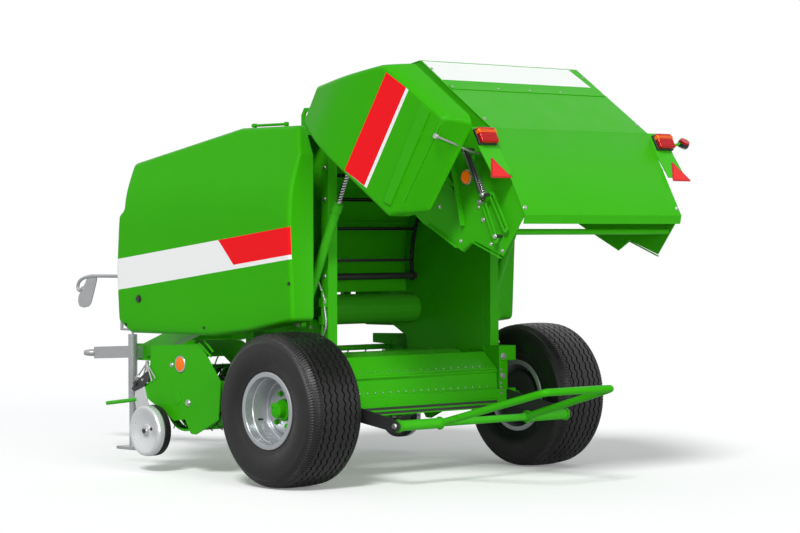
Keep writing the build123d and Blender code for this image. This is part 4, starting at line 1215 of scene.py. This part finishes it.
# Frame details: bolts on posts, rails and walls, rivets on the cross plate, shaft bearings
shafts = [(640, 600), (728.8, 956.3)]
frameBolts = {
    682: [(50, z, 18) for z in (900, 980, 1180, 1400, 1620, 1800)],
    701: [(x, 890, 18) for x in (150, 420, 900, 1250, 1410)],
    700.5: [(-20, 660, 20), (30, 660, 20), (0, 590, 16)],
    619.5: [(350, 560, 14), (560, 500, 14)],
    620: [(x + dx, z + dz, 15) for x, z in shafts + [(330, 640)] for dx, dz in ringOf(4, 48, 0.5)],
}
bearingTurned = [(26, 0), (62, 0), (62, 10), (48, 16), (44, 24), (27, 26)]
spots, bearings = [], []
for sign in (-1, 1):
    for y, rows in frameBolts.items():
        spots += spotsOn(at, sign, y, rows)
    bearings += [lathedDisc(at(x, sign * 619.3, z), sign, bearingTurned) for x, z in shafts + [(357, 477)]]
boltsOn("frameBolts", spots, "frame")
newPiece("bearingHousings", bearings, darkSteel, "frame")

rivet = {"size": 9, "pitch": 60.0, "half": 9}
slope, rear = Vector((-0.668, 0, 0.744)), Vector((-1, 0, 0))
shares = range(-rivet["half"], rivet["half"] + 1)
spots = [(at(-21.3, k * rivet["pitch"], 621.6) + slope * 0.0005, slope, rivet["size"]) for k in shares]
tipped = Vector((-1, 0, 0.05)).normalized()
spots += [(at(-40, k * rivet["pitch"] + 20, 505), tipped, rivet["size"]) for k in shares]
boltsOn("plateRivets", spots, "frame", corners=12, height=0.35, washer=0.1)
rows = [(-649, 682, 30), (-649, 562, 26)] + [(-632, z, 12) for z in (600, 575, 520, 490, 460)]
rows += [(649, 682, 30), (649, 562, 26)]
boltsOn("bracketBolts", [(at(-52.5, y, z), rear, size) for y, z, size in rows], "frame")
ledges = [
    plate([(-35.5, 492), (-41.5, 492), (-49, 434), (-43, 434)], -611, 611),
    plate([(-31, 606), (-43, 600), (-45, 592), (-35, 580)], -609, 609, at, 2.0),
]
for x, z, deep in ((-60, 428, 8), (-58, 404, 9), (-56, 380, 7)):
    ledges.append(plate([(x, z), (x, z - deep), (x + 26, z - deep), (x + 26, z)], -604, 604, at, 1.5))
# Dark strips in the gaps under the cross plate's ledges: painted shade
gapShadeStrips = [plate([(-52, z), (-52, z - 14), (-40, z - 14), (-40, z)], -600, 600) for z in (419, 394)]
newPiece("plateGapShade", gapShadeStrips, darkSteel, "frame")
newPiece("plateLedges", ledges, greenPaint, "frame")
seams = []
for t in (math.radians(a) for a in (80, 58, 38, 19, 1.5)):
    x, z = chamber["x"] + chamber["rib"] * math.cos(t), chamber["z"] + chamber["rib"] * math.sin(t)
    seams.append(tube([at(x, -600, z), at(x, 600, z)], 7, 10))
newPiece("frontWallRibs", seams, greenPaint, "frame")

# Bale kicker: tube swept smoothly along its bends, with sleeves, end rings and gussets
kick = {"x": -550.0, "z": 358.0, "in": 344.0, "out": 674.0, "tube": 21, "sleeve": 30}
bends = [(-1228, 277, 541), (-1275, 266, 554), (-1293, 246, 559), (-1293, 190, 559)]
bends += [(x, -y, z) for x, y, z in reversed(bends)]
kx, kz = kick["x"], kick["z"]
line = [at(kx, kick["in"], kz)] + [at(*p) for p in curved(bends, 6)] + [at(kx, -kick["in"], kz)]
tubes = [tube(line, kick["tube"], 20), tube([at(kx, -354, kz), at(kx, 354, kz)], kick["tube"], 20)]
ringTurned = [(30.2, 0), (36, 0), (37, 2), (37, 10), (36, 12), (30.2, 12)]
rings, spots = [], []
for sign in (-1, 1):
    tubes.append(bar(at, sign, (kx, kick["in"], kz), (kx, kick["out"], kz), kick["sleeve"], 28))
    for y in (kick["in"] - 1, kick["out"] - 14):
        rings.append(lathedDisc(at(kx, sign * y, kz), sign, ringTurned, 32))
    rings.append(plate([(-560, 380), (-700, 412), (-705, 398), (-575, 342)], sign * 344, sign * 352))
    spots += spotsOn(at, sign, 692.5, [(kx, kz, 26), (-70, 410, 20), (-70, 465, 20)])
newPiece("kickerFrame", tubes, greenPaint, "kicker", "bale_kicker")
newPiece("kickerRings", rings, greenPaint, "kicker")
boltsOn("kickerBolts", spots, "frame")


# Power take-off, hitch eye, hose holder, jack and gearbox
def stoodOver(mesh, place, turn=Matrix.Identity(4)):
    # Moves what was turned over the axle's place on the ground
    mesh.transform(Matrix.Translation(place) @ turn @ Matrix.Translation(-at(0, 0, 0)))
    return mesh


facingFront, facingUp = Matrix.Rotation(-math.pi / 2, 4, "Z"), Matrix.Rotation(math.pi / 2, 4, "X")
low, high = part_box("pto_stub")
middle = Vector((low.x, 0, (low.z + high.z) / 2))
toothShape = [Vector((x * mm, 0, z * mm)) for x, z in ((-3.4, 12), (3.4, 12), (3.0, 17.3), (-3.0, 17.3))]
tooth = prism(toothShape, Vector((0, 0.080, 0)), 0.4)
teeth = repeated(roundTree, tooth, Count=6, First=0.0, Step=math.pi / 3, Centre=(0.0, 0.0, 0.0))
teeth.transform(Matrix.Translation(middle + Vector((0.003, 0, 0))) @ facingFront)
cores = ((0.0845, 13.8), (0.012, 17.4))
stub = merged(teeth, *[tube([middle, middle + Vector((x, 0, 0))], radius, 28) for x, radius in cores])
smoothed(stub)
newPiece("splinedStub", stub, greySteel, "frame", "pto_stub")
shield = lathed([(0, 0), (62, 0), (66, 4), (78, 60), (76, 60), (64, 6), (20, 2)], (0, 0, 0), 40)
newPiece("shaftShield", stoodOver(shield, middle, facingFront), blackPlastic, "frame")
low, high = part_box("hitch_eye")
eye = Vector(((low.x + high.x) / 2, 0, (low.z + high.z) / 2))
eyeTurned = [(25, -22), (28, -22), (54, -18), (61.5, -10), (61.8, 0), (61.5, 10), (54, 18), (28, 22), (25, 22)]
ring = stoodOver(lathed(eyeTurned, (0, 0, 0), 56, 50), eye, facingUp)
newPiece("forgedEye", tidied(ring, 50), greySteel, "frame", "hitch_eye")

hose = {"y": 800.0, "start": 1.163, "thick": 3, "radius": 10.8}
low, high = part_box("hose_holder")
hoseLine = [(2090, 1160), (2180, 1156), (2250, 1143), (2294, 1118), (2306, 1082), (2284, 1066), (2252, 1084)]
ends = [Vector((low.x, hose["y"] * mm, hose["start"]))] + [at(x, hose["y"], z) for x, z in hoseLine]
spoonShape = [
    (2095, 1150), (2130, 1060), (2165, 985), (2190, 966), (2241, 958), (2286, 966),
    (2302, 996), (2297, 1030), (2262, 1075), (2218, 1120), (2205, 1150),
]
spoon = plate(spoonShape, hose["y"] - hose["thick"], hose["y"] + hose["thick"], at, 1.0, 12)
newPiece("hoseRest", [tube(curved(ends, 5), hose["radius"], 16), spoon], greySteel, "frame", "hose_holder")
low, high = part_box("jack_sleeve")
ends = [Vector((high.x - 0.011, 0.125, high.z - drop)) for drop in (0.078, 0.0005)]
newPiece("jackGrip", tube(ends, 10.9, 20), blackPlastic, "frame")
low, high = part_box("gearbox")
flange = {"in": 0.0195, "z": 0.985, "radius": 0.085}
places = [Vector((high.x - flange["in"], dy, flange["z"] + dz)) for dy, dz in ringOf(6, flange["radius"])]
boltsOn("gearboxBolts", [(place, Vector((1, 0, 0)), 15) for place in places], "frame")

# Latch rods beside the posts, the marker lamp's stay, brake drums behind the wheels
latches = {
    1: [(107, 1187), (29, 1046), (37, 1017), (21, 892), (91, 788)],
    -1: [(138, 1260), (86, 1072), (69, 835), (40, 762)],
}
rods = []
for sign, line in latches.items():
    rods.append(tube(curved([at(x, sign * 700, z) for x, z in line], 3), 6.0, 10))
    rods += [bar(at, sign, (x, 681, z), (x, 706, z), 9) for x, z in (line[0], line[-1])]
newPiece("latchRods", rods, greySteel, "frame")
knobPlace = raised(-689, 1050, 862)
stayLine = [knobPlace, raised(-660, 925, 842), raised(-625, 800, 830), raised(-598, 676, 838)]
stay = tube(curved(stayLine, 4), 6.5, 12)
knob = lathed([(0, -9), (13, -9), (15, -6), (15, 6), (13, 9), (0, 9)], (0, 0, 0), 24, 40)
newPiece("lampStay", [stay, stoodOver(knob, knobPlace)], zincSteel, "tailgate")
drumTurned = [(30, 0), (128, 0), (146, 4), (150, 10), (150, 62), (146, 66), (70, 66), (70, 9), (30, 9)]
drums = []
for sign in (-1, 1):
    drums.append(lathedDisc(at(0, sign * 822, wheel["height"]), sign, drumTurned, 48))
    for x, dz in ringOf(10, 96):
        z = wheel["height"] + dz
        drums.append(bar(at, sign, (x, 821, z), (x, 834, z), 8, 6))
newPiece("brakeDrums", drums, darkSteel, "frame")
print("frame details ready")

# Other CAD nodes get their finish
finishes = {
    # The rollers and rotor take the darker inner green, which is painted shade
    "front_roller": innerShadedPaint, "floor_roller": innerShadedPaint, "feed_rotor": innerShadedPaint,
    # The kicker brackets take dark steel, which stands in for the shade they sit in: painted shade
    "lamp_brackets": greenPaint, "kicker_brackets": darkSteel,
    "cylinder_barrel_left": greenPaint, "cylinder_barrel_right": greenPaint,
    "cylinder_rod_left": rodStriped, "cylinder_rod_right": rodStriped,
}
for node, material in finishes.items():
    mesh = nodes[node].data
    for i in range(len(mesh.materials)):
        mesh.materials[i] = material
    if not mesh.materials:
        mesh.materials.append(material)
print("finishes ready")

low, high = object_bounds()
